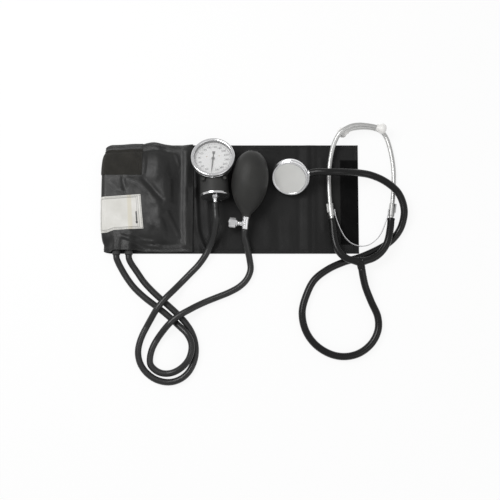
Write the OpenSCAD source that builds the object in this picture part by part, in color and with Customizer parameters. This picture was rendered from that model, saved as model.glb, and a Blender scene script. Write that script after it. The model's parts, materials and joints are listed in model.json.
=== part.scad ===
/* [Cuff] */
// Length of the lower layer of the folded cuff
cuff_l = 335; // [320:1:360]
// Width of the cuff
cuff_w = 143; // [130:1:160]
// Length of the upper layer, from the fold to its end
flap_l = 119; // [110:1:135]
// Thickness of one cloth layer
cloth_t = 0.9; // [0.7:0.1:1.2]
// Thickness of one side of the bladder at its middle
bladder_t = 4.4; // [3.5:0.1:5.5]
// Length of one side of the bladder
bladder_l = 106; // [96:1:110]
// Width of the bladder
bladder_w = 122; // [112:1:124]
// Clearance between neighbouring soft layers
layer_gap = 0.15; // [0.1:0.05:0.3]
// Width of the hook patch along the cuff
hook_l = 23; // [16:1:30]
// Height of the hook patch across the cuff
hook_w = 111; // [90:1:120]
// Thickness of the hook and loop patches
patch_t = 1; // [0.6:0.1:1.4]
// Length of the loop patch along the cuff
loop_l = 53; // [44:1:56]
// Length of the blank label along the cuff
label_l = 56; // [44:0.5:57]
// Height of the blank label across the cuff
label_w = 47; // [30:1:50]
// Thickness of the label
label_t = 0.4; // [0.3:0.1:0.6]

/* [Gauge] */
// Outer radius of the bezel
bezel_r = 28; // [26.5:0.5:30]
// Height of the bezel
bezel_h = 7; // [6:0.5:9]
// Width of the bezel's front lip
lip_w = 3.9; // [3:0.1:4.5]
// Radius of the capsule housing
can_r = 18; // [17:0.5:19]
// Length of the capsule housing
can_l = 44; // [42:0.5:47]
// Wall of the housing
case_t = 1.6; // [1.2:0.1:2]
// Tilt of the dial towards the head end
dial_lean = 12; // [12:1:17]
// How far the nipple end is raised where the gauge lies
gauge_rise = 8; // [7:1:11]
// Thickness of the base plate
base_t = 3; // [2.5:0.1:4]
// Thickness of the crystal
crystal_t = 1.6; // [1:0.1:2]
// Gear module of the movement
gear_m = 0.4; // [0.35:0.01:0.42]
// Teeth on the pointer's pinion
pinion_n = 10; // [10:1:12]
// Teeth that the sector would have as a whole wheel
sector_n = 80; // [76:1:84]

/* [Bulb and valve] */
// Largest radius of the bulb
bulb_r = 23.5; // [22:0.5:25.5]
// Length of the bulb
bulb_l = 84; // [78:1:92]
// Wall of the bulb
bulb_t = 2.5; // [2:0.1:3]
// Radius of the release valve's body
valve_r = 4.4; // [3.8:0.1:4.8]
// Radius of the thumb screw's knob
knob_r = 6.4; // [5.5:0.1:7.5]
// Length of the thumb screw's knob
knob_l = 10.3; // [8:0.1:12]
// Radius of the thumb screw's stem
stem_r = 2; // [1.8:0.1:2.2]
// Radius of the valve balls
ball_r = 1.7; // [1.5:0.1:1.9]

/* [Hoses] */
// Outer diameter of the air hoses
hose_d = 8.4; // [7.8:0.1:8.6]
// Outer diameter of the listening tube
tube_d = 9.4; // [8.6:0.1:9.6]

/* [Stethoscope] */
// Radius of the chestpiece's front ring
chest_r = 23.5; // [22:0.1:24.5]
// Depth of the chestpiece
chest_h = 9.1; // [8.5:0.1:11]
// Outer diameter of the ear tubes
ear_d = 6; // [5:0.1:6]
// Largest radius of an ear tip
tip_r = 6.8; // [5.5:0.1:7]
// Thickness of the leaf spring
leaf_t = 1; // [0.6:0.1:1.2]
// Width of the leaf spring
leaf_w = 7; // [5:0.5:8]

/* [Fits] */
// Gap between pieces that rest on each other
seat_gap = 0.1; // [0.05:0.05:0.2]
// Radial clearance of a shaft in its hole
run_gap = 0.05; // [0.03:0.01:0.08]
// Gap under what lies on the cuff
lie_gap = 0.3; // [0.2:0.05:0.4]

/* [Hidden] */
$fn = 48;

black = [0.13, 0.13, 0.13];
dark = [0.2, 0.2, 0.2];
rubber = [0.17, 0.17, 0.17];
chrome = [0.8, 0.8, 0.82];
brass = [0.78, 0.63, 0.33];
white = [0.93, 0.93, 0.92];

// Vector and curve helpers
function unit(v) = v / norm(v);
function clamp(x, a, b) = min(max(x, a), b);
function smooth(x) = let (c = clamp(x, 0, 1)) c * c * (3 - 2 * c);
function bell(x, w) = exp(-pow(x / w, 2));
function catmull(a, b, c, d, t) =
    0.5 * (2 * b + (c - a) * t + (2 * a - 5 * b + 4 * c - d) * t * t + (3 * b - a - 3 * c + d) * t * t * t);
function at(p, i) = i < 0 ? 2 * p[0] - p[1] : i >= len(p) ? 2 * p[len(p) - 1] - p[len(p) - 2] : p[i];
// The route's own points, with extra ones between them
function spline(p, steps) = concat(
    [for (i = [0 : len(p) - 2], k = [0 : steps - 1])
        catmull(at(p, i - 1), at(p, i), at(p, i + 1), at(p, i + 2), k / steps)],
    [p[len(p) - 1]]);
function tangent(p, i) = unit(at(p, i + 1) - at(p, i - 1));

// A tube of diameter d swept along the points p, with n sides
module sweep(p, d, n) {
    rings = [for (i = [0 : len(p) - 1])
        let (
            t = tangent(p, i),
            side = unit(cross(t, abs(t.z) > 0.9 ? [1, 0, 0] : [0, 0, 1])),
            up = cross(side, t)
        )
        for (k = [0 : n - 1]) p[i] + d / 2 * (cos(360 * k / n) * side + sin(360 * k / n) * up)];
    walls = [for (i = [0 : len(p) - 2], k = [0 : n - 1])
        let (a = i * n + k, b = i * n + (k + 1) % n)
        each [[a, b, b + n], [a, b + n, a + n]]];
    polyhedron(concat(rings, [p[0], p[len(p) - 1]]), concat(walls,
        [for (k = [0 : n - 1]) [len(p) * n, (k + 1) % n, k]],
        [for (k = [0 : n - 1]) [len(p) * n + 1, (len(p) - 1) * n + k, (len(p) - 1) * n + (k + 1) % n]]));
}

// A closed sheet between two grids of points, both rows by cols
module sheet(low, high) {
    rows = len(low);
    cols = len(low[0]);
    n = rows * cols;
    function id(i, j) = i * cols + j;
    points = concat([for (r = low) each r], [for (r = high) each r]);
    skin = [for (i = [0 : rows - 2], j = [0 : cols - 2])
        let (a = id(i, j), b = id(i, j + 1), c = id(i + 1, j + 1), d = id(i + 1, j))
        each [[a, b, c], [a, c, d], [n + a, n + c, n + b], [n + a, n + d, n + c]]];
    rim = concat(
        [for (i = [0 : rows - 2]) each [[id(i, 0), id(i + 1, 0), n + id(i + 1, 0)],
            [id(i, 0), n + id(i + 1, 0), n + id(i, 0)],
            [id(i + 1, cols - 1), id(i, cols - 1), n + id(i, cols - 1)],
            [id(i + 1, cols - 1), n + id(i, cols - 1), n + id(i + 1, cols - 1)]]],
        [for (j = [0 : cols - 2]) each [[id(0, j + 1), id(0, j), n + id(0, j)],
            [id(0, j + 1), n + id(0, j), n + id(0, j + 1)],
            [id(rows - 1, j), id(rows - 1, j + 1), n + id(rows - 1, j + 1)],
            [id(rows - 1, j), n + id(rows - 1, j + 1), n + id(rows - 1, j)]]]);
    polyhedron(points, concat(skin, rim));
}

// Cuff: one strip folded back over itself at its left end, lying on its lower layer
fold_x = -cuff_l / 2;
flap_x = fold_x + flap_l;
tail_x = cuff_l / 2;
seam_t = 2 * cloth_t + layer_gap;
stack_r = seam_t + bladder_t + layer_gap;
turn_x = fold_x + stack_r;
neck_x = [fold_x + 21, fold_x + 37];
neck_d = hose_d + 1.6;
seam_line_x = 105;
corner_r = 15;

// Shape of the bladder's dome, 1 at its middle and 0 past its edges
function dome(x, t) =
    let (
        v = abs(t) * cuff_w / bladder_w,
        u = clamp((x - turn_x - bladder_l + 22) / 18, 0, 1)
    )
    v >= 1 ? 0 : pow(1 - pow(v, 4), 0.6) * (1 - smooth(u));
// Buckles in the cloth of the upper layer
function buckle(x, y) =
    -1.6 * bell(x + 0.55 * y + 92, 5) * smooth((y + 62) / 30)
    - 1.3 * bell(x - 0.6 * y + 74, 4.5) * smooth((-y - 4) / 24)
    - 1.1 * bell(x + 0.25 * y + 66, 4) * smooth((60 - abs(y)) / 20)
    + 0.9 * bell(x - 0.3 * y + 80, 6) * smooth((50 - abs(y)) / 20);
function lower_t(x, t) = seam_t + bladder_t * dome(x, t)
    + 0.6 * smooth((8 - abs(x - seam_line_x)) / 4)
    + 1.1 * bell(x - flap_x - 4 - 7 * pow(t + 0.1, 2), 3.4) * smooth(1.1 - t);
function upper_t(x, t) = seam_t + dome(x, t) * (bladder_t
    + buckle(x, t * cuff_w / 2) * smooth((x - turn_x - 52) / 14));
// Space between the two layers, which opens for the hoses at the lower edge
function between(x, t) = 2 * layer_gap
    + (neck_d + 1.2) * smooth((22 - abs(x - fold_x - 29)) / 10) * smooth((-t - 0.66) / 0.26);
function corner(x, t) = let (q = clamp((fold_x + corner_r - x) / corner_r, 0, 1))
    (t > 0 ? corner_r : 0.45 * corner_r) * (1 - sqrt(1 - q * q)) * pow(abs(t), 7);
function across(x, t) = cuff_w / 2 * t - sign(t) * corner(x, t);
// The upper layer is drawn up from the lower edge by the bladder under it
function drawn(x, t) = 4 * smooth(-t) * smooth((x - turn_x) / 14);
function stack_half(t) = lower_t(turn_x, t) + between(turn_x, t) / 2;

// Places along the strip: its run, then where on it
lower_x = concat([for (k = [0 : 2]) tail_x - k * (tail_x - seam_line_x - 10) / 2],
    [seam_line_x + 6, seam_line_x, seam_line_x - 6, seam_line_x - 10],
    [for (k = [1 : 7]) seam_line_x - 10 - k * (seam_line_x - 10 - flap_x - 16) / 7],
    [flap_x + 11, flap_x + 7, flap_x + 3],
    [for (k = [0 : 10]) flap_x - 2 - k * (flap_x - 2 - turn_x) / 10]);
upper_x = [for (k = [1 : 13]) turn_x + k * (flap_x - turn_x) / 13];
turns = [for (k = [1 : 7]) 180 * k / 8];
strip = concat([for (x = lower_x) [0, x]], [for (a = turns) [1, a]], [for (x = upper_x) [2, x]]);
spread = [for (j = [0 : 12]) sin(90 * (j / 6 - 1)) * 0.55 + (j / 6 - 1) * 0.45];

function thick(s, t) = s[0] == 0 ? lower_t(s[1], t) : s[0] == 1 ? lower_t(turn_x, t) : upper_t(s[1], t);
// Point of the strip at depth a under its outer surface
function on_strip(s, t, a) =
    s[0] == 0 ? [s[1], across(s[1], t), a] :
    s[0] == 2 ? [s[1], across(s[1], t) + drawn(s[1], t),
        lower_t(s[1], t) + between(s[1], t) + upper_t(s[1], t) - a] :
    let (r = stack_half(t), x = turn_x - (r - a) * sin(s[1]))
    [x, across(turn_x - r * sin(s[1]), t), r - (r - a) * cos(s[1])];

module cuff_outer_shell() {
    color(black) sheet(
        [for (s = strip) [for (t = spread) on_strip(s, t, cloth_t)]],
        [for (s = strip) [for (t = spread) on_strip(s, t, 0)]]);
}

module cuff_inner_lining() {
    color(dark) sheet(
        [for (s = strip) [for (t = spread) on_strip(s, t, thick(s, t))]],
        [for (s = strip) [for (t = spread) on_strip(s, t, thick(s, t) - cloth_t)]]);
}

// Where t lies among the shell's rows: the row before it, and the share of the way to the next
function row_share(t) =
    let (j = max([0, for (k = [1 : len(spread) - 2]) if (spread[k] <= t) k]))
    [j, (t - spread[j]) / (spread[j + 1] - spread[j])];
// Point at t on the straight facets between the shell's rows
function on_facets(s, t, a) =
    let (r = row_share(t))
    (1 - r[1]) * on_strip(s, spread[r[0]], a) + r[1] * on_strip(s, spread[r[0] + 1], a);

// The bladder takes the shell's own rows inside its width, and its edges lie on the shell's facets
bladder_run = [for (s = strip) if (s[0] == 1 || s[1] < turn_x + bladder_l - 4) s];
bladder_edge = bladder_w / cuff_w * 0.985;
bladder_inside = [for (t = spread) if (abs(t) < bladder_edge - 0.02) t];
bladder_spread = concat([-bladder_edge], bladder_inside, [bladder_edge]);
half_skin = cloth_t + 1.8 * layer_gap;
function bladder_skin(s, t, inner) = on_strip(s, t, inner
    ? max(thick(s, t) - half_skin, thick(s, t) / 2 + 0.04)
    : min(half_skin, thick(s, t) / 2 - 0.04));
function on_bladder(s, t, inner) =
    let (r = row_share(t))
    (1 - r[1]) * bladder_skin(s, spread[r[0]], inner) + r[1] * bladder_skin(s, spread[r[0] + 1], inner);
module bladder() {
    color(rubber) sheet(
        [for (s = bladder_run) [for (t = bladder_spread) on_bladder(s, t, true)]],
        [for (s = bladder_run) [for (t = bladder_spread) on_bladder(s, t, false)]]);
}

module hook_patch() {
    color(black) translate([tail_x - hook_l - 0.5, -hook_w / 2 - 4, seam_t + seat_gap])
        linear_extrude(patch_t) square([hook_l, hook_w]);
}

// A patch sewn on the upper layer, wrapping a little way round the fold; its two long edges slope by
// skew, and between them it takes the shell's own rows
module sewn_patch(length, low, high, gap, thickness, skew) {
    run = concat([for (a = [112.5, 135, 157.5]) [1, a]],
        [for (x = upper_x) if (x < fold_x + length - 2) [2, x]], [[2, fold_x + length]]);
    slope = skew / (cuff_w / 2);
    inner = [for (t = spread) if (t > low + slope * length + 0.01 && t < high - 0.01) t];
    function row(s, a) =
        let (rise = slope * (s[0] == 2 ? s[1] - turn_x : 0))
        concat([on_facets(s, low + rise, a)],
            [for (t = inner) on_strip(s, t, a)],
            [on_facets(s, high + rise, a)]);
    sheet([for (s = run) row(s, -gap)], [for (s = run) row(s, -gap - thickness)]);
}

// The loop patch lies between two of the shell's rows, so its height follows the cuff's width
module loop_patch() { color(dark) sewn_patch(loop_l, spread[8], spread[11], seat_gap, patch_t, 0); }
label_y = 1.5;
label_skew = 0.06;
module blank_label() {
    low = (label_y - label_w) / (cuff_w / 2);
    high = label_y / (cuff_w / 2);
    color(white) sewn_patch(label_l, low, high, 3 * seat_gap, label_t, label_skew);
}

// Rubber necks on the bladder, lying between the layers at the lower edge
neck_l = 10;
neck_z = lower_t(neck_x[0], -0.88) + (neck_d + 1.2) / 2 + layer_gap;
module hose_necks() {
    color(rubber) for (x = neck_x) translate([x, -cuff_w / 2 + neck_l - 2, neck_z]) rotate([90, 0, 0])
        difference() {
            rotate_extrude() polygon([[0, 0], [neck_d / 2 - 0.6, 0], [neck_d / 2 - 0.6, neck_l - 5],
                [neck_d / 2, neck_l - 4], [neck_d / 2, neck_l], [0, neck_l]]);
            translate([0, 0, -1]) cylinder(r = 2, h = neck_l + 2);
        }
}

// Gauge, placed by its own frame: y towards the head, z away from the cuff
gauge_at = [-18.6, -1, seam_t + lie_gap + can_l * sin(gauge_rise) + can_r * cos(gauge_rise)];
gauge_yaw = 3;
dial_y = can_l + 4;
dial_z = can_r + 1.5;
module in_gauge() { translate(gauge_at) rotate([-gauge_rise, 0, gauge_yaw]) children(); }
module in_dial() { in_gauge() translate([0, dial_y, dial_z]) rotate([-dial_lean, 0, 0]) children(); }

bowl_r = bezel_r - 2;
rim_r = bezel_r - lip_w;
seat_w = -(1.3 + crystal_t + seat_gap);
bowl_w = -16;
floor_w = -24;
front_plate_w = -9.7;
rear_plate_w = -20.3;
plate_t = 1;
sector_r = gear_m * sector_n / 2;
pinion_r = gear_m * pinion_n / 2;
centre_d = sector_r + pinion_r;
pivot_x = -2.5;
pivot = [pivot_x, -sqrt(centre_d * centre_d - pivot_x * pivot_x)];
mesh_a = atan2(-pivot.y, -pivot.x);
crank_r = 2.5;
zero_a = -172.5;
full_turn = 337.5;
sector_turn = full_turn * pinion_n / sector_n;
arbor_r = 0.6;
pivot_r = 0.8;

module can_space(r, y0, y1) { translate([0, y0, 0]) rotate([-90, 0, 0]) cylinder(r = r, h = y1 - y0); }

module gauge_case() {
    color(black) in_gauge() difference() {
        union() {
            difference() {
                translate([0, base_t + seat_gap, 0]) rotate([-90, 0, 0]) rotate_extrude()
                    polygon([[0, 0], [can_r, 0], [can_r, can_l - base_t - 2.1],
                        [can_r - 2, can_l - base_t - 0.1], [0, can_l - base_t - 0.1]]);
                translate([0, dial_y, dial_z]) rotate([-dial_lean, 0, 0])
                    translate([-40, -bowl_r, -12]) cube([80, 80, 40]);
            }
            translate([0, dial_y, dial_z]) rotate([-dial_lean, 0, 0]) rotate_extrude()
                polygon([[0, floor_w], [bowl_r - 6.5, floor_w], [bowl_r - 0.6, bowl_w],
                    [bowl_r, bowl_w + 1.2], [bowl_r, seat_w], [0, seat_w]]);
            for (side = [-1, 1]) translate([side * 13.6, 19.5, 10.4]) cylinder(r = 2.1, h = 6.6);
        }
        can_space(can_r - case_t, base_t - 1, can_l - case_t);
        translate([0, dial_y, dial_z]) rotate([-dial_lean, 0, 0]) rotate_extrude()
            polygon([[0, floor_w + case_t], [bowl_r - 7.6, floor_w + case_t], [bowl_r - case_t, bowl_w + 1],
                [bowl_r - case_t, 1], [0, 1]]);
    }
}

module gauge_bezel() {
    edge = 1.5;
    color(chrome) in_dial() rotate_extrude($fn = 96) polygon(concat(
        [[bowl_r + 0.1, -bezel_h], [bezel_r, -bezel_h], [bezel_r, -edge]],
        [for (a = [15 : 15 : 90]) [bezel_r - edge + edge * cos(a), -edge + edge * sin(a)]],
        [[rim_r + 0.8, -0.15], [rim_r, -1.1], [rim_r, -1.3], [bowl_r - case_t + 0.8, -1.3],
            [bowl_r - case_t + 0.8, seat_w + 0.05], [bowl_r + 0.1, seat_w + 0.05]]));
}

module gauge_crystal() {
    color([0.9, 0.95, 1, 0.3]) in_dial() translate([0, 0, seat_w + seat_gap])
        cylinder(r = bowl_r - case_t + 0.7, h = crystal_t - 0.1);
}

module dial_plate() {
    color(white) in_dial() translate([0, 0, -6.8]) difference() {
        cylinder(r = bowl_r - case_t - 0.3, h = 0.8);
        translate([0, 0, -1]) cylinder(r = 1.5, h = 3);
        for (s = [-1, 1]) translate([s * 8, 4, -1]) cylinder(r = 0.8, h = 3);
    }
}

module pointer() {
    color(black) in_dial() rotate([0, 0, -zero_a]) translate([0, 0, -5.4]) difference() {
        union() {
            cylinder(r = 2, h = 1);
            linear_extrude(0.5) polygon([[-0.9, 0], [-0.75, 12], [-0.15, 20], [0.15, 20], [0.75, 12],
                [0.9, 0], [0.5, -5.5], [1.7, -8], [1.7, -10.5], [-1.7, -10.5], [-1.7, -8],
                [-0.5, -5.5]]);
        }
        translate([0, 0, -1]) cylinder(r = arbor_r + 0.02, h = 1.8);
    }
}

// Half of a tooth's angle at the radius r, for a gear of n teeth on involute flanks
pressure = 25;
backlash = 0.07;
function inv_deg(a) = tan(a) * 180 / PI - a;
function flank(n, r) = let (pitch = gear_m * n / 2, base = pitch * cos(pressure))
    90 / n - backlash / pitch * 45 / PI + inv_deg(pressure) - inv_deg(acos(min(1, base / r)));
addendum = 0.8 * gear_m;
dedendum = 1.05 * gear_m;
function tooth(n, a) = let (
        pitch = gear_m * n / 2,
        base = pitch * cos(pressure) + 0.001,
        foot = pitch - dedendum,
        low = max(base, foot),
        radii = [for (k = [0 : 3]) low + k / 3 * (pitch + addendum - low)]
    )
    concat([foot * [cos(a - flank(n, low)), sin(a - flank(n, low))]],
        [for (r = radii) r * [cos(a - flank(n, r)), sin(a - flank(n, r))]],
        [for (k = [3 : -1 : 0]) radii[k] * [cos(a + flank(n, radii[k])), sin(a + flank(n, radii[k]))]],
        [foot * [cos(a + flank(n, low)), sin(a + flank(n, low))]]);

module pointer_pinion() {
    color(brass) in_dial() {
        translate([0, 0, rear_plate_w + 0.3]) cylinder(r = arbor_r, h = -rear_plate_w - 5.1);
        translate([0, 0, -15.2]) linear_extrude(2)
            polygon([for (k = [0 : pinion_n - 1])
                each tooth(pinion_n, mesh_a + 180 + 360 / pinion_n * (k + 0.5))]);
        translate([0, 0, -17.6]) cylinder(r = 1.2, h = 1.4);
    }
}

module sector_gear() {
    pitch_a = 360 / sector_n;
    first = -ceil(sector_turn / pitch_a) - 1;
    teeth = [for (k = [first : 1]) each tooth(sector_n, mesh_a + k * pitch_a)];
    low_a = mesh_a + (first - 0.5) * pitch_a;
    high_a = mesh_a + 1.5 * pitch_a;
    band = sector_r - dedendum - 2;
    crank_a = -sector_turn / 2;
    back = [for (k = [0 : 8]) let (a = high_a + (low_a - high_a) * k / 8) band * [cos(a), sin(a)]];
    color(brass) in_dial() translate([pivot.x, pivot.y, 0]) {
        translate([0, 0, -14.8]) linear_extrude(1.1) {
            polygon(concat(teeth, back));
            for (a = [low_a + 3, high_a - 3]) rotate(a) translate([0, -0.7]) square([band + 0.6, 1.4]);
            circle(r = 2.2);
            rotate(low_a / 2 + high_a / 2 + 180) translate([0, -1]) square([5, 2]);
        }
        translate([0, 0, rear_plate_w - 2])
            cylinder(r = pivot_r, h = -rear_plate_w + 2 + front_plate_w + 0.9);
        translate([0, 0, rear_plate_w - 2]) linear_extrude(1.2) {
            circle(r = 1.6);
            rotate(crank_a) translate([0, -0.9]) square([crank_r, 1.8]);
            translate(crank_r * [cos(crank_a), sin(crank_a)]) circle(r = 0.9);
        }
        translate(concat(crank_r * [cos(crank_a), sin(crank_a)], [-25]))
            cylinder(r = 0.6, h = 25 + rear_plate_w - 1.5);
    }
}

// Two plates on four posts, sized from the gear centres and kept inside the bowl
module movement_frame() {
    half_w = 0.56 * centre_d;
    foot_y = 0.365 * centre_d;
    posts = [[0.8 * half_w, pivot.y - 2.7], [-0.8 * half_w, pivot.y - 2.7], [0.75 * half_w, foot_y],
        [-0.75 * half_w, foot_y]];
    module plate() {
        difference() {
            union() {
                intersection() {
                    translate([-half_w, pivot.y - 4.7]) square([2 * half_w, foot_y - 1 - pivot.y + 4.7]);
                    circle(r = bowl_r - case_t - 0.4);
                }
                circle(r = half_w + 0.5);
            }
            circle(r = arbor_r + run_gap);
            translate(pivot) circle(r = pivot_r + run_gap);
        }
    }
    color(brass) in_dial() {
        translate([0, 0, front_plate_w]) linear_extrude(plate_t) plate();
        translate([0, 0, rear_plate_w]) linear_extrude(plate_t) plate();
        for (p = posts) translate([p.x, p.y, rear_plate_w])
            cylinder(r = 1, h = front_plate_w - rear_plate_w + 0.5);
        for (s = [-1, 1]) {
            translate([s * 8, 4, front_plate_w + 0.5])
                cylinder(r = 1.3, h = -6.8 - seat_gap - front_plate_w - 0.5);
            translate([s * 0.75 * half_w, foot_y, floor_w + case_t + seat_gap])
                cylinder(r = 1.6, h = rear_plate_w - floor_w - case_t);
        }
    }
}

module hairspring() {
    turns_n = 3.25;
    steps = 66;
    function coil(k, off) = let (f = k / steps, r = 1.75 + 3.2 * f + off)
        r * [cos(360 * turns_n * f), sin(360 * turns_n * f)];
    color(chrome) in_dial() {
        translate([0, 0, -17.3]) linear_extrude(0.6)
            polygon(concat([for (k = [0 : steps]) coil(k, 0.13)],
                [for (k = [steps : -1 : 0]) coil(k, -0.13)]));
        translate([0, 4.95, rear_plate_w + plate_t + 0.02]) cylinder(r = 0.5, h = 2.6);
    }
}

capsule_y = [4.6, 13.2];
module aneroid_capsule() {
    mid = (capsule_y[0] + capsule_y[1]) / 2;
    half = (capsule_y[1] - capsule_y[0]) / 2;
    ripple = [for (k = [0 : 12]) [13 - k * 0.9, 0.5 + (half - 1) * smooth(k / 9) + 0.35 * cos(k * 120)]];
    color(brass) in_gauge() translate([0, mid, 0]) rotate([-90, 0, 0]) rotate_extrude() polygon(concat(
        [[0, -half - 1.4], [3, -half - 1.4], [3, -half]],
        [for (k = [12 : -1 : 0]) [ripple[k].x, -ripple[k].y]],
        [[14, -0.3], [14, 0.3]], ripple, [[2.2, half], [0, half]]));
}

// Where the crank's pin crosses the rod's line at rest
pin_v = pivot.y - crank_r * sin(sector_turn / 2);
pin_w = (dial_z - sin(dial_lean) * pin_v) / cos(dial_lean);
pin_y = dial_y + cos(dial_lean) * pin_v - sin(dial_lean) * pin_w;
module push_rod() {
    tip = pin_y - 0.95;
    color(chrome) in_gauge() translate([0, capsule_y[1] + seat_gap, 0]) rotate([-90, 0, 0]) {
        cylinder(r = 2.2, h = 0.9);
        cylinder(r = 0.9, h = tip - capsule_y[1] - seat_gap - 0.8);
        translate([0, 0, tip - capsule_y[1] - seat_gap - 0.8]) cylinder(r1 = 0.9, r2 = 0.5, h = 0.8);
    }
}

screw_ring = can_r - 3;
module gauge_base_plate() {
    color(chrome) in_gauge() difference() {
        rotate([-90, 0, 0]) rotate_extrude($fn = 96) polygon([[0, 0.6], [5, 0.6], [5.6, 0], [can_r + 0.4, 0],
            [can_r + 1.1, 0.7], [can_r + 1.1, base_t - 0.6], [can_r + 0.5, base_t], [0, base_t]]);
        can_space(2, -1, base_t + 1);
        for (a = [30, 150, 270])
            rotate([0, a, 0]) translate([screw_ring, 0, 0]) can_space(1.1, -1, base_t + 1);
    }
}

nipple_l = 8;
module gauge_nipple() {
    color(chrome) in_gauge() rotate([90, 0, 0]) difference() {
        rotate_extrude() polygon([[0, -base_t + 0.2], [2 - run_gap, -base_t + 0.2],
            [2 - run_gap, -0.6 + seat_gap], [4.4, -0.6 + seat_gap], [4.4, 1.5], [3.1, 2.2], [2.8, 3.4],
            [2.8, 6.6], [3.1, 7.2], [3.1, nipple_l - 0.4], [2.1, nipple_l], [2.4, nipple_l + 2],
            [2.1, nipple_l + 2.4], [2.4, nipple_l + 5], [2, nipple_l + 6.5], [0, nipple_l + 6.5]]);
        translate([0, 0, -base_t - 1]) cylinder(r = 1.1, h = nipple_l + base_t + 9);
    }
}

module gauge_screws() {
    color(chrome) in_gauge() for (a = [30, 150, 270]) rotate([0, a, 0]) translate([screw_ring, 0, 0])
        rotate([-90, 0, 0]) {
            translate([0, 0, -1]) cylinder(r = 1.9, h = 0.9);
            translate([0, 0, -0.2]) cylinder(r = 1, h = base_t - 0.1);
        }
}

module gauge_clip() {
    clip_w = 9;
    tip_z = -(can_l - 2) * tan(gauge_rise) - can_r + 0.35;
    share = can_l / 44;
    path = concat([for (p = [[38, 0.6], [31, 0.6], [27, 1.6], [21, 3], [14, 2.4], [9.5, 1.6], [6, 3.4]])
        share * p * [[1, 0], [0, -1]] - [0, can_r]], [[3.4 * share, tip_z + 2.2], [2 * share, tip_z + 0.5]]);
    curve = spline(path, 3);
    function side(i) = let (t = tangent(curve, i)) 0.4 * [-t.y, t.x];
    color(chrome) in_gauge() {
        translate([3 - clip_w / 2, 0, 0]) rotate([90, 0, 90]) linear_extrude(clip_w)
            polygon(concat([for (i = [0 : len(curve) - 1]) curve[i] + side(i)],
                [for (i = [len(curve) - 1 : -1 : 0]) curve[i] - side(i)]));
        translate([3, 33 * share, -can_r - 1.3]) cylinder(r = 1.5, h = 0.5);
    }
}

// Bulb, placed by its own frame: z along its axis towards the inlet
bulb_pitch = 8;
bulb_yaw = -6;
module in_bulb() { translate(bulb_at) rotate([bulb_pitch - 90, 0, bulb_yaw]) children(); }
bulb_axis = [sin(-bulb_yaw) * cos(bulb_pitch), cos(bulb_yaw) * cos(bulb_pitch), sin(bulb_pitch)];
tip_z = 0.443 * bulb_l;
neck_z1 = tip_z - bulb_l;
neck_r = valve_r + 1.2;
mouth_r = 6.6;
spigot_r = valve_r - 0.6;
inlet_r = 4.9;
function bulb_out(f) = f > 0
    ? [bulb_r * sqrt(1 - pow(f, 2.3) * (1 - pow(mouth_r / bulb_r, 2))), f * tip_z]
    : let (g = -f, body = pow(max(0, 1 - pow(g / 0.94, 2)), 0.75), flare = neck_r / bulb_r)
        [bulb_r * sqrt(body * body + flare * flare * smooth(g * 1.3)), -g * -neck_z1];
outer = [for (k = [0 : 30]) bulb_out(k / 15 - 1)];
// The bulb's lowest place, pitched as it lies, rests on the cuff
bulb_low = max([for (p = outer) p.x * cos(bulb_pitch) - p.y * sin(bulb_pitch)]);
bulb_at = [25.8, 20.2, seam_t + lie_gap + bulb_low];

module inflation_bulb() {
    inner = [for (k = [3 : 27])
        let (t = unit(at(outer, k + 1) - at(outer, k - 1)))
        outer[k] - bulb_t * [t.y, -t.x]];
    color(rubber) in_bulb() rotate_extrude($fn = 96) polygon(concat(
        [[spigot_r + 0.1, neck_z1]], outer, [[inlet_r + 0.1, tip_z]],
        [for (k = [len(inner) - 1 : -1 : 0]) [max(inner[k].x, spigot_r + 0.1), inner[k].y]]));
}

inlet_l = 9;
module inlet_valve_body() {
    color(chrome) in_bulb() rotate_extrude() polygon([[1.2, tip_z + 1], [5.8, tip_z + 1], [6, tip_z + 0.1],
        [inlet_r, tip_z + 0.1], [inlet_r, tip_z - inlet_l], [ball_r - 0.5, tip_z - inlet_l],
        [ball_r - 0.5, tip_z - inlet_l + 1], [ball_r + 0.4, tip_z - inlet_l + 1.4], [ball_r + 0.4, tip_z - 3],
        [1.2, tip_z - 1.9]]);
}

module inlet_valve_ball() {
    color(chrome) in_bulb() translate([0, 0, tip_z - 3.2]) sphere(r = ball_r);
}

outlet_z = neck_z1 + 7.3;
module outlet_valve_ball() {
    color(chrome) in_bulb() translate([0, 0, outlet_z]) sphere(r = ball_r);
}

valve_l = 16;
screw_z = neck_z1 - 9;
barb_z = neck_z1 - valve_l;
boss_x = 9.6;
module release_valve_body() {
    color(chrome) in_bulb() difference() {
        union() {
            rotate_extrude() polygon([[0, barb_z - 8.5], [1.9, barb_z - 8.5], [2.5, barb_z - 5.5],
                [2.1, barb_z - 5.2], [2.5, barb_z - 2], [2.1, barb_z - 1.6], [2.1, barb_z],
                [valve_r - 0.7, barb_z], [valve_r, barb_z + 0.8], [valve_r, neck_z1 - 2.6],
                [valve_r + 0.5, neck_z1 - 2.2], [valve_r + 0.5, neck_z1 - seat_gap],
                [spigot_r, neck_z1 - seat_gap], [spigot_r, neck_z1 + 10], [0, neck_z1 + 10]]);
            translate([0, 0, screw_z]) rotate([0, -90, 0]) rotate_extrude() polygon([[0, 0], [3.4, 0],
                [3.4, 6.2], [2.7, 6.8], [3.2, 7.6], [3.3, 8.4], [3, 9.2], [2.6, boss_x], [0, boss_x]]);
        }
        translate([0, 0, barb_z - 9]) cylinder(r = 1.2, h = valve_l + 12);
        translate([0, 0, neck_z1 + 3.6]) cylinder(r = ball_r + 0.4, h = 4.2);
        translate([0, 0, neck_z1 + 7.7]) cylinder(r1 = ball_r + 0.4, r2 = 1, h = 1.1);
        translate([0, 0, neck_z1 + 8]) cylinder(r = 1, h = 3);
        translate([-1.4, 0, screw_z]) rotate([0, -90, 0]) cylinder(r = stem_r + run_gap, h = boss_x);
    }
}

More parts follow.
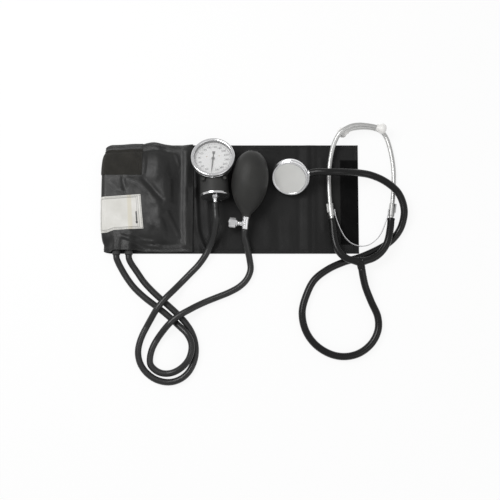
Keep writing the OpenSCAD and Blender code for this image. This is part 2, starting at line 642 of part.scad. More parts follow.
screw_turns = 2;
screw_pitch = 0.7;
screw_travel = screw_turns * screw_pitch;
seal_x = 5;
module release_screw() {
    flutes = 20;
    knob_x = boss_x + 0.4;
    color(chrome) in_bulb() translate([0, 0, screw_z]) rotate([0, -90, 0]) {
        rotate_extrude() polygon([[0, 1.7], [0.5, 1.7], [stem_r, 3.2], [stem_r, seal_x - 0.5],
            [stem_r - 0.8, seal_x - 0.5], [stem_r - 0.8, seal_x + 0.5], [stem_r, seal_x + 0.5],
            [stem_r, knob_x], [4.2, knob_x], [4.5, knob_x + 0.4], [4.5, knob_x + 1.6], [0, knob_x + 1.6]]);
        difference() {
            translate([0, 0, knob_x + 1.6]) rotate_extrude() polygon([[0, 0], [knob_r - 0.8, 0],
                [knob_r, 0.8], [knob_r, knob_l - 1.2], [knob_r - 1.2, knob_l], [0, knob_l]]);
            for (k = [0 : flutes - 1]) rotate(360 * k / flutes) translate([knob_r + 0.35, 0, knob_x + 2.6])
                cylinder(r = 0.7, h = knob_l - 2.6);
        }
    }
}

module release_seal() {
    ring = 0.36;
    color(black) in_bulb() translate([0, 0, screw_z]) rotate([0, -90, 0]) translate([0, 0, seal_x])
        rotate_extrude() translate([stem_r - ring - 0.02, 0]) circle(r = ring, $fn = 24);
}

// Hoses: where each starts, and its route over the cuff's edge and along the table
gauge_axis = [-sin(gauge_yaw) * cos(gauge_rise), cos(gauge_yaw) * cos(gauge_rise), -sin(gauge_rise)];
function gauge_out(y) = gauge_at + y * gauge_axis;
// Points of a route, with their heights scaled as the hose's diameter is
function lay(route) = [for (p = route) [p.x, p.y, p.z * hose_d / 8.4]];
function neck_end(x, out) = let (edge = -cuff_w / 2)
    [[x + out, edge - 10.6, 6.7], [x + 0.3 * out, edge - 7.2, 7.8], [x, edge - 4.4, neck_z],
        [x, edge - 2.1, neck_z]];
gauge_route = concat([gauge_out(-nipple_l), gauge_out(-nipple_l - 9)],
    [[-17, -30, 29], [-18.5, -41, 22], [-21.5, -52, 14.4]], lay([[-26, -63, 9.2],
    [-32.4, -75.5, 6.9], [-41.2, -87.2, 4.4], [-52.1, -98.5, 4.3], [-63.4, -110.3, 5.8],
    [-72.1, -119.6, 9.8], [-80.4, -128.1, 13], [-87.6, -136.2, 13.2], [-94, -145.1, 12.8],
    [-100.1, -155, 8.3], [-106, -165, 4.5], [-111.8, -176.5, 4.3], [-116, -188.8, 4.3],
    [-117.1, -200.8, 4.3], [-114, -213.2, 4.3], [-106.2, -224.4, 4.3], [-93.8, -233.1, 4.3],
    [-78.9, -236.5, 4.3], [-64.6, -233.4, 4.3], [-53.2, -224.6, 4.3], [-46, -211.4, 4.3],
    [-43.5, -197.8, 4.3], [-44.8, -184.7, 4.3], [-49.4, -172.2, 4.3], [-56.7, -161.2, 4.3],
    [-65.7, -151.2, 4.3], [-76.8, -140.9, 4.3], [-88, -131.1, 4.3], [-99.6, -120.5, 4.3],
    [-110.9, -108.4, 4.3], [-119.9, -95.6, 4.4], [-125.9, -87, 5.1]]),
    neck_end(neck_x[1], 1.8));
bulb_route = concat([bulb_at + (barb_z - 0.2) * bulb_axis, bulb_at + (barb_z - 8) * bulb_axis],
    [[21, -58.5, 13]], lay([
    [23, -67.5, 9.3], [25.6, -80, 5], [26.7, -92.7, 4.3], [21.8, -105, 4.3], [12.1, -114.7, 4.3],
    [-1.1, -122, 4.3], [-16, -128, 4.3], [-30.7, -133.9, 4.8], [-43, -139.8, 7.8], [-53.1, -145.4, 11.8],
    [-62.2, -150.5, 13.1], [-70.8, -156.5, 13.2], [-78.7, -164.2, 12.5], [-86, -172.6, 7.8],
    [-92.9, -182, 4.5], [-98.5, -192.4, 4.3], [-101.6, -203.4, 4.3], [-101.3, -213.7, 4.3],
    [-95.2, -220.9, 4.3], [-87, -224.9, 4.3], [-77.6, -225.4, 4.5], [-68.4, -222.6, 6.2],
    [-59.2, -216.4, 9], [-51.9, -207.4, 11.8], [-48.4, -196.2, 12.3], [-49, -185.4, 12.1],
    [-54.5, -174.9, 11.5], [-63.2, -166.6, 7.5], [-69.4, -161, 4.4], [-74.4, -156.3, 4.3], [-85.4, -147, 4.3],
    [-97.5, -137.8, 4.3], [-110.5, -127.8, 4.3], [-123.3, -115.8, 4.3], [-133.6, -102.2, 4.4],
    [-141.6, -88.6, 5.2]]),
    neck_end(neck_x[0], 1.9));

module gauge_hose() { color(rubber) sweep(gauge_route, hose_d, 12); }
module bulb_hose() { color(rubber) sweep(bulb_route, hose_d, 12); }

// Chestpiece, placed by its own frame: z out of its face, x along its stem
chest_n = unit([-0.21, -0.58, 0.79]);
chest_s = let (s = [0.93, 0.1, 0.35]) unit(s - (s * chest_n) * chest_n);
chest_t = cross(chest_n, chest_s);
flange_r = chest_r + 1.1;
chest_at = [77, 22.7, seam_t + lie_gap + chest_n.z * chest_h + flange_r * sqrt(1 - chest_n.z * chest_n.z)];
module in_chest() {
    multmatrix([[chest_s.x, chest_t.x, chest_n.x, chest_at.x], [chest_s.y, chest_t.y, chest_n.y, chest_at.y],
        [chest_s.z, chest_t.z, chest_n.z, chest_at.z], [0, 0, 0, 1]]) children();
}
film_t = 0.6;
ring_h = 4.4;
stem_z = -chest_h + 2.4;
collar_x = flange_r + 1.6;

module chestpiece_body() {
    seat = -0.9 - film_t - seat_gap;
    color(chrome) in_chest() difference() {
        rotate_extrude($fn = 96) polygon([[0, -6], [3, -6], [chest_r - 4, seat - 1.2], [chest_r - 3.4, seat],
            [chest_r - 1.5, seat], [chest_r - 1.5, -ring_h - seat_gap], [flange_r - 0.8, -ring_h - seat_gap],
            [flange_r, -ring_h - 1], [flange_r, -chest_h + 0.9], [flange_r - 0.9, -chest_h],
            [chest_r * 0.62, -chest_h - 0.8], [chest_r * 0.42, -chest_h - 2.6],
            [chest_r * 0.36, -chest_h - 3], [0, -chest_h - 3]]);
        translate([0, 0, stem_z]) rotate([0, 90, 0]) cylinder(r = 1.5, h = flange_r + 5);
        translate([0, 0, stem_z]) cylinder(r = 1.5, h = 6);
        translate([flange_r - 4, 0, stem_z]) rotate([0, 90, 0]) cylinder(r = 2.3, h = 10);
    }
}

module diaphragm() {
    color(white) in_chest() translate([0, 0, -0.9 - film_t])
        cylinder(r = chest_r - 1.7, h = film_t, $fn = 96);
}

module diaphragm_ring() {
    color(chrome) in_chest() rotate_extrude($fn = 96) polygon([[chest_r - 1.45, -ring_h], [chest_r, -ring_h],
        [chest_r, -0.9], [chest_r - 0.3, -0.25], [chest_r - 0.9, 0], [chest_r - 2.4, -0.2],
        [chest_r - 2.9, -0.8], [chest_r - 1.45, -0.8]]);
}

module chestpiece_stem() {
    color(chrome) in_chest() translate([0, 0, stem_z]) rotate([0, 90, 0]) difference() {
        rotate_extrude() polygon([[0, flange_r - 4 + 0.1], [2.25, flange_r - 4 + 0.1], [2.25, flange_r + 0.1],
            [3.9, flange_r + 0.1], [4.2, flange_r + 0.5], [4.2, collar_x], [2.6, collar_x],
            [2.6, collar_x + 3], [3, collar_x + 3.2], [2.5, collar_x + 6], [3, collar_x + 6.2],
            [2.3, collar_x + 9], [0, collar_x + 9]]);
        translate([0, 0, flange_r - 5]) cylinder(r = 1.4, h = 20);
    }
}

// Yoke: a round boss where the two rubber arms meet the listening tube
yoke_at = [167, -83, 15];
yoke_r = 7;
yoke_h = 10;
function from_chest(x) = chest_at + x * chest_s + stem_z * chest_n;
tube_end = [169, -92, 14.4];
tube_route = concat([from_chest(collar_x + 0.1), from_chest(collar_x + 10)],
    [[124, 30, 33.5], [136, 30.1, 33], [147, 30.8, 29], [157, 31.4, 23.4], [168, 31.6, 17.5],
    [181, 30.2, 13.4], [195, 25, 12.6], [207, 17.5, 12.5], [217, 8, 12.3], [223, -4, 12],
    [225.5, -17, 11.2], [224, -30, 8.6], [219.5, -42, 5.6],
    [211, -53, 4.9], [200, -61.5, 4.8],
    [186, -69, 4.8], [167, -77, 4.8], [146.5, -83, 4.8], [126, -92.5, 4.8], [108.5, -106.5, 4.8],
    [98, -127, 4.8], [93, -148, 4.8], [97, -170, 4.8], [109, -188, 4.8], [127, -200, 4.8],
    [146, -204, 4.8], [165, -200, 4.8], [181, -188, 4.8], [190, -171, 4.8], [190, -153, 4.8],
    [182, -134, 5], [174.8, -116, 7.4], [171, -102, 12],
    1.25 * tube_end - 0.25 * yoke_at, tube_end]);
module listening_tube() { color(rubber) sweep(tube_route, tube_d, 12); }

module yoke() {
    toward = unit(tube_end - yoke_at);
    turn = atan2(toward.y, toward.x);
    lean = acos(toward.z);
    color(rubber) translate(yoke_at) {
        translate([0, 0, -yoke_h / 2]) rotate_extrude() polygon([[0, 0], [yoke_r - 2, 0], [yoke_r - 0.6, 0.8],
            [yoke_r, 2.2], [yoke_r, yoke_h - 2.2], [yoke_r - 0.6, yoke_h - 0.8], [yoke_r - 2, yoke_h],
            [0, yoke_h]]);
        rotate([0, lean, turn]) cylinder(r = tube_d / 2, h = norm(tube_end - yoke_at) - 0.1);
    }
}

arm_left = [[159.7, -81.7, 15], [151, -79.5, 15], [143.5, -74, 14.6], [138, -66, 13.6], [134.8, -55, 12],
    [133.4, -43, 10.2], [133, -34, 9], [132.2, -27, 8.2]];
arm_right = [[174.3, -81.7, 15], [184, -78.5, 15], [193, -72, 15], [200, -63, 15],
    [204, -53, 14.4], [206.6, -41, 12], [207.8, -34, 10.2], [208.6, -27, 8.6]];
module yoke_left_arm() { color(rubber) sweep(arm_left, tube_d, 12); }
module yoke_right_arm() { color(rubber) sweep(arm_right, tube_d, 12); }

ear_left = [[132.8, -34, 8.9], [132.2, -27, 8.2], [130.4, -12, 7.2], [129, 10, 6.6], [129, 33, 7],
    [131, 53, 9], [135, 70, 13], [142.5, 84, 17.7], [155, 92.5, 18.3], [167.5, 95, 18], [180, 94, 17.8],
    [188, 92.5, 17.6], [195, 90.6, 17.5]];
ear_right = [[207.8, -34, 10.2], [208.6, -27, 8.6], [210.7, -11, 5.6], [213, 9, 3.7], [214, 30, 3.3],
    [213, 47, 3.3], [210, 65, 3.3], [205.5, 80, 3.3], [199, 89.5, 3.3], [188, 94, 3.6], [174, 95, 4.4],
    [160, 93, 5.8], [149.5, 88.5, 7.1]];
module ear_tube_left() { color(chrome) sweep(spline(ear_left, 2), ear_d, 12); }
module ear_tube_right() { color(chrome) sweep(spline(ear_right, 2), ear_d, 12); }

module along(p, d) { translate(p) rotate([0, acos(d.z / norm(d)), atan2(d.y, d.x)]) children(); }

module ear_tip(route) {
    last = len(route) - 1;
    d = route[last] - route[last - 1];
    bore = ear_d / 2 + run_gap;
    color(white) along(route[last], d) difference() {
        translate([0, 0, -5]) rotate_extrude() polygon([[0, 0], [bore + 1.1, 0], [bore + 1.3, 1.5],
            [bore + 1, 3.6], [tip_r - 0.6, 5], [tip_r, 6.4], [tip_r - 0.3, 8.6], [tip_r - 1.8, 11.2],
            [tip_r - 4, 13], [0, 13.4]]);
        translate([0, 0, -6]) cylinder(r = bore, h = 6.2);
        cylinder(r = 1.2, h = 10);
    }
}
module ear_tip_left() { ear_tip(ear_left); }
module ear_tip_right() { ear_tip(ear_right); }

// Steel sleeves that hold the leaf spring against the ear tubes, each with a bracket on its outer side
sleeve_t = 0.9;
sleeve_r = ear_d / 2 + run_gap + sleeve_t;
left_sleeve = [[131.72, -23, 7.9], [130.05, -7, 7.05]];
right_sleeve = [[209.1, -23, 7.85], [211.2, -7, 5.1]];
module spring_sleeve(ends, side) {
    d = ends[1] - ends[0];
    bracket_l = 0.7 * norm(d);
    color(chrome) along(ends[0], d) difference() {
        union() {
            cylinder(r = sleeve_r, h = norm(d));
            rotate(side) translate([sleeve_r - 0.7, -sleeve_t * 3, norm(d) - bracket_l])
                cube([2 * sleeve_t, sleeve_t * 6, bracket_l]);
        }
        translate([0, 0, -1]) cylinder(r = sleeve_r - sleeve_t, h = norm(d) + 2);
    }
}
module spring_sleeve_left() { spring_sleeve(left_sleeve, 90); }
module spring_sleeve_right() { spring_sleeve(right_sleeve, -90); }

// The leaf spring bows under the yoke, and its ends lie along the inner sides of the sleeves
leaf_z = 8.2;
// Point beside a sleeve at the fraction f of its length
function beside(ends, f, side) = let (d = ends[1] - ends[0], p = ends[0] + f * d, flat = unit([d.x, d.y]))
    [p.x, p.y] + side * (sleeve_r + seat_gap + leaf_t / 2) * [flat.y, -flat.x];
leaf_bow = [[137.75, -27.3], [139.3, -31.8], [141.3, -37], [144.2, -43.5], [149, -51.5], [157, -59],
    [168, -62.5], [179, -61], [188.6, -54.5], [195, -46.5], [199, -38], [201.4, -31.5], [203, -27]];
leaf_path = spline(concat([for (f = [0.5, 0.3, 0.06]) beside(left_sleeve, f, 1)], leaf_bow,
    [for (f = [0.06, 0.3, 0.5]) beside(right_sleeve, f, -1)]), 3);
module leaf_spring() {
    color(chrome) translate([0, 0, leaf_z - leaf_w / 2]) linear_extrude(leaf_w) polygon(concat(
        [for (i = [0 : len(leaf_path) - 1]) leaf_path[i] + leaf_t / 2 * leaf_side(i)],
        [for (i = [len(leaf_path) - 1 : -1 : 0]) leaf_path[i] - leaf_t / 2 * leaf_side(i)]));
}
function leaf_side(i) = let (t = tangent(leaf_path, i)) [-t.y, t.x];

cuff_outer_shell();
cuff_inner_lining();
bladder();
hook_patch();
loop_patch();
blank_label();
hose_necks();
gauge_case();
gauge_bezel();
gauge_crystal();
dial_plate();
pointer();
pointer_pinion();
sector_gear();
movement_frame();
hairspring();
aneroid_capsule();
push_rod();
gauge_base_plate();
gauge_nipple();
gauge_screws();
gauge_clip();
inflation_bulb();
inlet_valve_body();
inlet_valve_ball();
release_valve_body();
outlet_valve_ball();
release_screw();
release_seal();
gauge_hose();
bulb_hose();
chestpiece_body();
diaphragm();
diaphragm_ring();
chestpiece_stem();
listening_tube();
yoke();
yoke_left_arm();
yoke_right_arm();
ear_tube_left();
ear_tube_right();
ear_tip_left();
ear_tip_right();
spring_sleeve_left();
spring_sleeve_right();
leaf_spring();
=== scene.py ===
import json
import math
from itertools import accumulate
import bpy
import bmesh
from mathutils import Matrix, Vector
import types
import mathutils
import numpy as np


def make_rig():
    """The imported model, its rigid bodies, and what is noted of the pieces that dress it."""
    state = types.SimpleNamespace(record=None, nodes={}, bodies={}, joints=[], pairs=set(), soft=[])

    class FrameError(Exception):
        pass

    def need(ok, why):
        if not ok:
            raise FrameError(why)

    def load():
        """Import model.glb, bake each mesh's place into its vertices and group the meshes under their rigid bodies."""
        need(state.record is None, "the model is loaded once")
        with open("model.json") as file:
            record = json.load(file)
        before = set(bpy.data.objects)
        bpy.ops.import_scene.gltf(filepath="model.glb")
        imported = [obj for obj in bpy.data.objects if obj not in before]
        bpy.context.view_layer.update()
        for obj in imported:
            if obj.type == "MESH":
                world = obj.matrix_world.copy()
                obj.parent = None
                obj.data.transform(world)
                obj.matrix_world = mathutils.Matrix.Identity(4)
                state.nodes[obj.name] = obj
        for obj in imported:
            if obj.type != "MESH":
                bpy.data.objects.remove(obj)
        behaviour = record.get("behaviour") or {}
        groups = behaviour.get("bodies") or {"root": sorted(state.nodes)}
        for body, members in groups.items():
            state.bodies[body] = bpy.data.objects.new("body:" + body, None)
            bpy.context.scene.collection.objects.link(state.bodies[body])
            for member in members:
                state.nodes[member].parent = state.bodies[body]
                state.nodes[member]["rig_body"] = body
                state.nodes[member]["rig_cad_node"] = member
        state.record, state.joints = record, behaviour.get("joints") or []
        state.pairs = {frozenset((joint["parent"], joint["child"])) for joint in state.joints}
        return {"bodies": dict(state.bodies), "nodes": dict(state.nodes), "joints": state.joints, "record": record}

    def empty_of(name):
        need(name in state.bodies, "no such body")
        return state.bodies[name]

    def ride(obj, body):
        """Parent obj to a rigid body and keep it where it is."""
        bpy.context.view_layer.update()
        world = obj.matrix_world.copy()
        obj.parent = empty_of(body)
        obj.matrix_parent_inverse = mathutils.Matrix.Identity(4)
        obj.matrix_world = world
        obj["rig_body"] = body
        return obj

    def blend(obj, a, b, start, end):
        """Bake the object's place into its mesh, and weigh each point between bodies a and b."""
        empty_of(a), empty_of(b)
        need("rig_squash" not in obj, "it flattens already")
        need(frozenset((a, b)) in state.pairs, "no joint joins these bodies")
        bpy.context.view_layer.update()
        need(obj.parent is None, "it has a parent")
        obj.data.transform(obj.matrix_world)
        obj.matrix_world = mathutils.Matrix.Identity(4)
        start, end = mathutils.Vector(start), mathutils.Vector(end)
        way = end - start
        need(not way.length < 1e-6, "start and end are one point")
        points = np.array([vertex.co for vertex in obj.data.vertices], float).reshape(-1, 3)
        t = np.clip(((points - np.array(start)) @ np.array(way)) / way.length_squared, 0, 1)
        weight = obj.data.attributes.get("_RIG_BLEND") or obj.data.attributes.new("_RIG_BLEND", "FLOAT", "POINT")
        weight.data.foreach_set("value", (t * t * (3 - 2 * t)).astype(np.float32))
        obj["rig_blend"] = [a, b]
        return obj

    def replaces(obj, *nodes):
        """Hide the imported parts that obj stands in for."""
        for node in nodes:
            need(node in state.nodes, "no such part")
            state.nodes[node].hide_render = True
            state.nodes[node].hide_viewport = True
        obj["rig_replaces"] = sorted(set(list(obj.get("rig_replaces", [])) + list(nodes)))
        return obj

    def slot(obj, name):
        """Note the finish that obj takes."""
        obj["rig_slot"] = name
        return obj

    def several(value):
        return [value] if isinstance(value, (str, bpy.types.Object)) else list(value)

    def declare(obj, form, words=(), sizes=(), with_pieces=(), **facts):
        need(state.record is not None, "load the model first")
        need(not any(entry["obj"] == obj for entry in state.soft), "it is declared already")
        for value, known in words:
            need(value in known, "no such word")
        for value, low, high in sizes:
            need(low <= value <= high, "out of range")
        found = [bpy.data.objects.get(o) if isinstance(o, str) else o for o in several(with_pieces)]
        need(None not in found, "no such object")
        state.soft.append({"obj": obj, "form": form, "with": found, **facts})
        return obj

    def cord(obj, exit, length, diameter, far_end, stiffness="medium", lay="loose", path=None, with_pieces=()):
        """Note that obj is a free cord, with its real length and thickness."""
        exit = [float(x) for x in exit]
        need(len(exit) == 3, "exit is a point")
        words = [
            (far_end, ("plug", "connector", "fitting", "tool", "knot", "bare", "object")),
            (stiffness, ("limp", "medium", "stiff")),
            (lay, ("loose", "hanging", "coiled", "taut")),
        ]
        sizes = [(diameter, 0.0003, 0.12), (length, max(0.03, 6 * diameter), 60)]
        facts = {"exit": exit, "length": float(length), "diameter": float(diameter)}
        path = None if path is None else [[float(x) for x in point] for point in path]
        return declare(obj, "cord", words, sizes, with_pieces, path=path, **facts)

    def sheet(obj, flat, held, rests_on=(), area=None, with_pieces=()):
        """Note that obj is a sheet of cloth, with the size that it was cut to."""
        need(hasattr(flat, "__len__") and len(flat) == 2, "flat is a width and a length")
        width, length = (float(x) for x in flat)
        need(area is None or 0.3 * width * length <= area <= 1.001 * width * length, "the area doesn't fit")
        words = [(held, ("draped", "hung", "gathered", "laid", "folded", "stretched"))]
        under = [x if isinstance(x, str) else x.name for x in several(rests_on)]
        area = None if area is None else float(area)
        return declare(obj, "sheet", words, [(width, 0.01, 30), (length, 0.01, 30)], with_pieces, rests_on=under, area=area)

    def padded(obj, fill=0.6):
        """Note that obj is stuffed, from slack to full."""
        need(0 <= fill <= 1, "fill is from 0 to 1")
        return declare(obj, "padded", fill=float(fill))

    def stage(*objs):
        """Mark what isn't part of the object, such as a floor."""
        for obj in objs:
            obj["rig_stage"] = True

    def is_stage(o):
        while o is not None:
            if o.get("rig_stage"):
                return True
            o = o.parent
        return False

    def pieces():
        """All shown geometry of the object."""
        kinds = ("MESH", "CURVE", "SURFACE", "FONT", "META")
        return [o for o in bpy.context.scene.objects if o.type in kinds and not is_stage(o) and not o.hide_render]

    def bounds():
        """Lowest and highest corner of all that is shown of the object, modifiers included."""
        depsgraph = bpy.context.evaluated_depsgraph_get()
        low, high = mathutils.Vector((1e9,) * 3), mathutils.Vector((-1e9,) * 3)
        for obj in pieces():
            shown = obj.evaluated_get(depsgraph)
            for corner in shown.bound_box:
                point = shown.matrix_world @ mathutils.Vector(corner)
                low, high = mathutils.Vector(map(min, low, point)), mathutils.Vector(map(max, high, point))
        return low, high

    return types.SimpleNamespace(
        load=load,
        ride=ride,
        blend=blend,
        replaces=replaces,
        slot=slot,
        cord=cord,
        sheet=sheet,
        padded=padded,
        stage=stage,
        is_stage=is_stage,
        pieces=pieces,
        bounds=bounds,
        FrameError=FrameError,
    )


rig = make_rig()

mm = 0.001
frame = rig.load()
cadBox = [list(c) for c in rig.bounds()]
nodes = frame["nodes"]
print("frame loaded")


# Helpers for node trees and objects; a node's input takes a value or another node's output
def wire(t, kind, inputs=None, **settings):
    node = t.nodes.new(kind)
    for key, value in settings.items():
        setattr(node, key, value)
    for key, value in (inputs or {}).items():
        if isinstance(value, bpy.types.NodeSocket):
            t.links.new(value, node.inputs[key])
        else:
            node.inputs[key].default_value = value
    return node


def mathNode(t, op, a, b=0.0):
    return wire(t, "ShaderNodeMath", {0: a, 1: b}, operation=op).outputs[0]


def newFinish(name):
    mat = bpy.data.materials.new(name)
    mat.use_nodes = True
    return mat, mat.node_tree, mat.node_tree.nodes["Principled BSDF"]


def addObject(name, data):
    made = bpy.data.objects.new(name, data)
    bpy.context.scene.collection.objects.link(made)
    return made


def finalMesh(source):
    bpy.context.view_layer.update()
    return bpy.data.meshes.new_from_object(source.evaluated_get(bpy.context.evaluated_depsgraph_get()))


def joinAll(parts, name):
    bpy.ops.object.select_all(action="DESELECT")
    for o in parts:
        o.select_set(True)
    bpy.context.view_layer.objects.active = parts[0]
    bpy.ops.object.join()
    parts[0].name = name
    return parts[0]


def assign(piece, node, slotName, body="cuff_set"):
    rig.replaces(piece, node)
    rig.slot(piece, slotName)
    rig.ride(piece, body)


# Camera, floor and light
camera = {"target": (26, -66.5, 0), "elevation": 84, "distance": 1150, "lens": 63.7}
studio = {"floor": 2.4, "floorColour": 0.94, "floorGlow": 0.88, "middle": (0.02, 0, 0), "worldTop": 0.55,
          "worldEdge": 0.5,
          "lamps": (("keyLamp", (-0.58, 0.3, 1.05), 0.6, 7.8), ("fillLamp", (0.7, -0.5, 0.9), 0.8, 1.4))}
white = (1, 1, 1, 1)


def lookAlong(item, away):
    item.rotation_mode = "QUATERNION"
    item.rotation_quaternion = away.to_track_quat("-Z", "Y")


def makeCamera(c):
    data = bpy.data.cameras.new("photoCamera")
    data.lens, data.sensor_width, data.clip_end = c["lens"], 36, 20
    eye = addObject("photoCamera", data)
    a = math.radians(c["elevation"])
    away = Vector((0, -math.cos(a), math.sin(a)))
    eye.location = (Vector(c["target"]) + away * c["distance"]) * mm
    lookAlong(eye, -away)
    bpy.context.scene.camera = eye


def floorPaint(c):
    mat, t, bsdf = newFinish("paleFloor")
    bsdf.inputs["Base Color"].default_value = (*[c["floorColour"]] * 3, 1)
    bsdf.inputs["Roughness"].default_value = 0.9
    glow = wire(t, "ShaderNodeEmission", {"Color": white})
    ray = wire(t, "ShaderNodeLightPath").outputs
    seen = mathNode(t, "MAXIMUM", mathNode(t, "MAXIMUM", ray["Is Camera Ray"], ray["Is Glossy Ray"]),
                    ray["Is Transmission Ray"])
    mix = wire(t, "ShaderNodeMixShader", {0: mathNode(t, "MULTIPLY", seen, c["floorGlow"]), 1: bsdf.outputs[0],
                                          2: glow.outputs[0]})
    t.links.new(mix.outputs[0], t.nodes["Material Output"].inputs["Surface"])
    return mat


def makeStudio(s):
    bpy.ops.mesh.primitive_plane_add(size=s["floor"], location=(0.02, -0.06, -0.0003))
    floor = bpy.context.object
    floor.name = "floor"
    floor.data.materials.append(floorPaint(s))
    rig.stage(floor)
    for name, place, size, power in s["lamps"]:
        lamp = addObject(name, bpy.data.lights.new(name, "AREA"))
        lamp.data.size, lamp.data.energy = size, power
        lamp.location = place
        lookAlong(lamp, Vector(s["middle"]) - Vector(place))
    world = bpy.data.worlds.new("studio")
    bpy.context.scene.world = world
    world.use_nodes = True
    t = world.node_tree
    split = wire(t, "ShaderNodeSeparateXYZ", {0: wire(t, "ShaderNodeTexCoord").outputs["Generated"]})
    ramp = wire(t, "ShaderNodeMapRange", {"Value": split.outputs["Z"], "From Min": 0.0, "From Max": 0.75,
                                          "To Min": s["worldEdge"], "To Max": s["worldTop"]})
    back = t.nodes["Background"]
    back.inputs["Color"].default_value = white
    t.links.new(ramp.outputs["Result"], back.inputs["Strength"])
    seen = wire(t, "ShaderNodeBackground", {"Color": white})
    mix = wire(t, "ShaderNodeMixShader", {0: wire(t, "ShaderNodeLightPath").outputs["Is Camera Ray"],
                                          1: back.outputs[0], 2: seen.outputs[0]})
    t.links.new(mix.outputs[0], t.nodes["World Output"].inputs["Surface"])
    bpy.context.scene.view_settings.view_transform = "Standard"


makeCamera(camera)
makeStudio(studio)
print("studio ready")


# Finishes: a colour is one number for a grey, or three
def noiseNode(t, where, scale, detail=3.0):
    return wire(t, "ShaderNodeTexNoise", {"Vector": where, "Scale": scale, "Detail": detail}).outputs["Fac"]


def spread(t, value, low, high):
    return wire(t, "ShaderNodeMapRange", {"Value": value, "From Min": 0.3, "From Max": 0.7, "To Min": low,
                                          "To Max": high}).outputs["Result"]


def rgba(c):
    return (*c, 1) if isinstance(c, tuple) else (c, c, c, 1)


def mixColour(t, share, a, b):
    return wire(t, "ShaderNodeMix", {0: share, 6: a, 7: b}, data_type="RGBA").outputs[2]


def bump(t, bsdf, height, depth):
    n = wire(t, "ShaderNodeBump", {"Strength": 1.0, "Distance": depth * mm, "Height": height})
    t.links.new(n.outputs[0], bsdf.inputs["Normal"])


def objectCoords(t):
    return wire(t, "ShaderNodeTexCoord").outputs["Object"]


def clothCoords(t):
    return wire(t, "ShaderNodeUVMap", uv_map="run").outputs[0]


def weaveHeight(t, where, pitch):
    axes = wire(t, "ShaderNodeSeparateXYZ", {0: where}).outputs
    waves = []
    for axis, other in (("X", "Y"), ("Y", "X")):
        row = mathNode(t, "SINE", mathNode(t, "MULTIPLY", axes[axis], 2 * math.pi / (pitch * mm)))
        turn = mathNode(t, "SINE", mathNode(t, "MULTIPLY", axes[other], math.pi / (pitch * mm)))
        waves.append(mathNode(t, "MULTIPLY", mathNode(t, "ABSOLUTE", row), mathNode(t, "ABSOLUTE", turn)))
    return mathNode(t, "MAXIMUM", waves[0], waves[1])


def baseFinish(name, coords, cloud, grain, dark, light, rough, sockets):
    mat, t, bsdf = newFinish(name)
    where = coords(t)
    colour = mixColour(t, spread(t, noiseNode(t, where, *cloud), 0, 1), rgba(dark), rgba(light))
    t.links.new(colour, bsdf.inputs["Base Color"])
    t.links.new(spread(t, noiseNode(t, where, *grain), *rough), bsdf.inputs["Roughness"])
    for key, value in sockets.items():
        bsdf.inputs[key].default_value = value
    return mat, t, bsdf, where


def clothFinish(name, cloud, dark, light, rough, sheen, specular, weave, weaveDepth, crumple):
    mat, t, bsdf, where = baseFinish(name, clothCoords, (cloud, 4), (cloud * 2.7,), dark, light, rough, {
        "Sheen Weight": sheen, "Sheen Roughness": 0.45, "Specular IOR Level": specular})
    fine = mathNode(t, "MULTIPLY", weaveHeight(t, where, weave), weaveDepth)
    bump(t, bsdf, mathNode(t, "ADD", fine, mathNode(t, "MULTIPLY", noiseNode(t, where, 95, 5), crumple)), 1.0)
    return mat


def rubberFinish(name, dark, light, rough, specular, sheen, grain, grainDepth):
    mat, t, bsdf, where = baseFinish(name, objectCoords, (38, 5), (160, 4), dark, light, rough, {
        "Specular IOR Level": specular, "Sheen Weight": sheen})
    bump(t, bsdf, noiseNode(t, where, grain, 3), grainDepth)
    return mat


def metalFinish(name, cloud, dark, light, rough):
    return baseFinish(name, objectCoords, (cloud, 4), (cloud * 5,), dark, light, rough, {"Metallic": 1.0})[0]


def plainFinish(name, cloud, dark, light, rough, specular=0.5, grain=1500, grainDepth=0.01, coat=0):
    sockets = {"Specular IOR Level": specular}
    if coat:
        sockets.update({"Coat Weight": coat, "Coat Roughness": 0.15})
    mat, t, bsdf, where = baseFinish(name, objectCoords, (cloud, 4), (240, 3), dark, light, rough, sockets)
    bump(t, bsdf, noiseNode(t, where, grain, 2), grainDepth)
    return mat


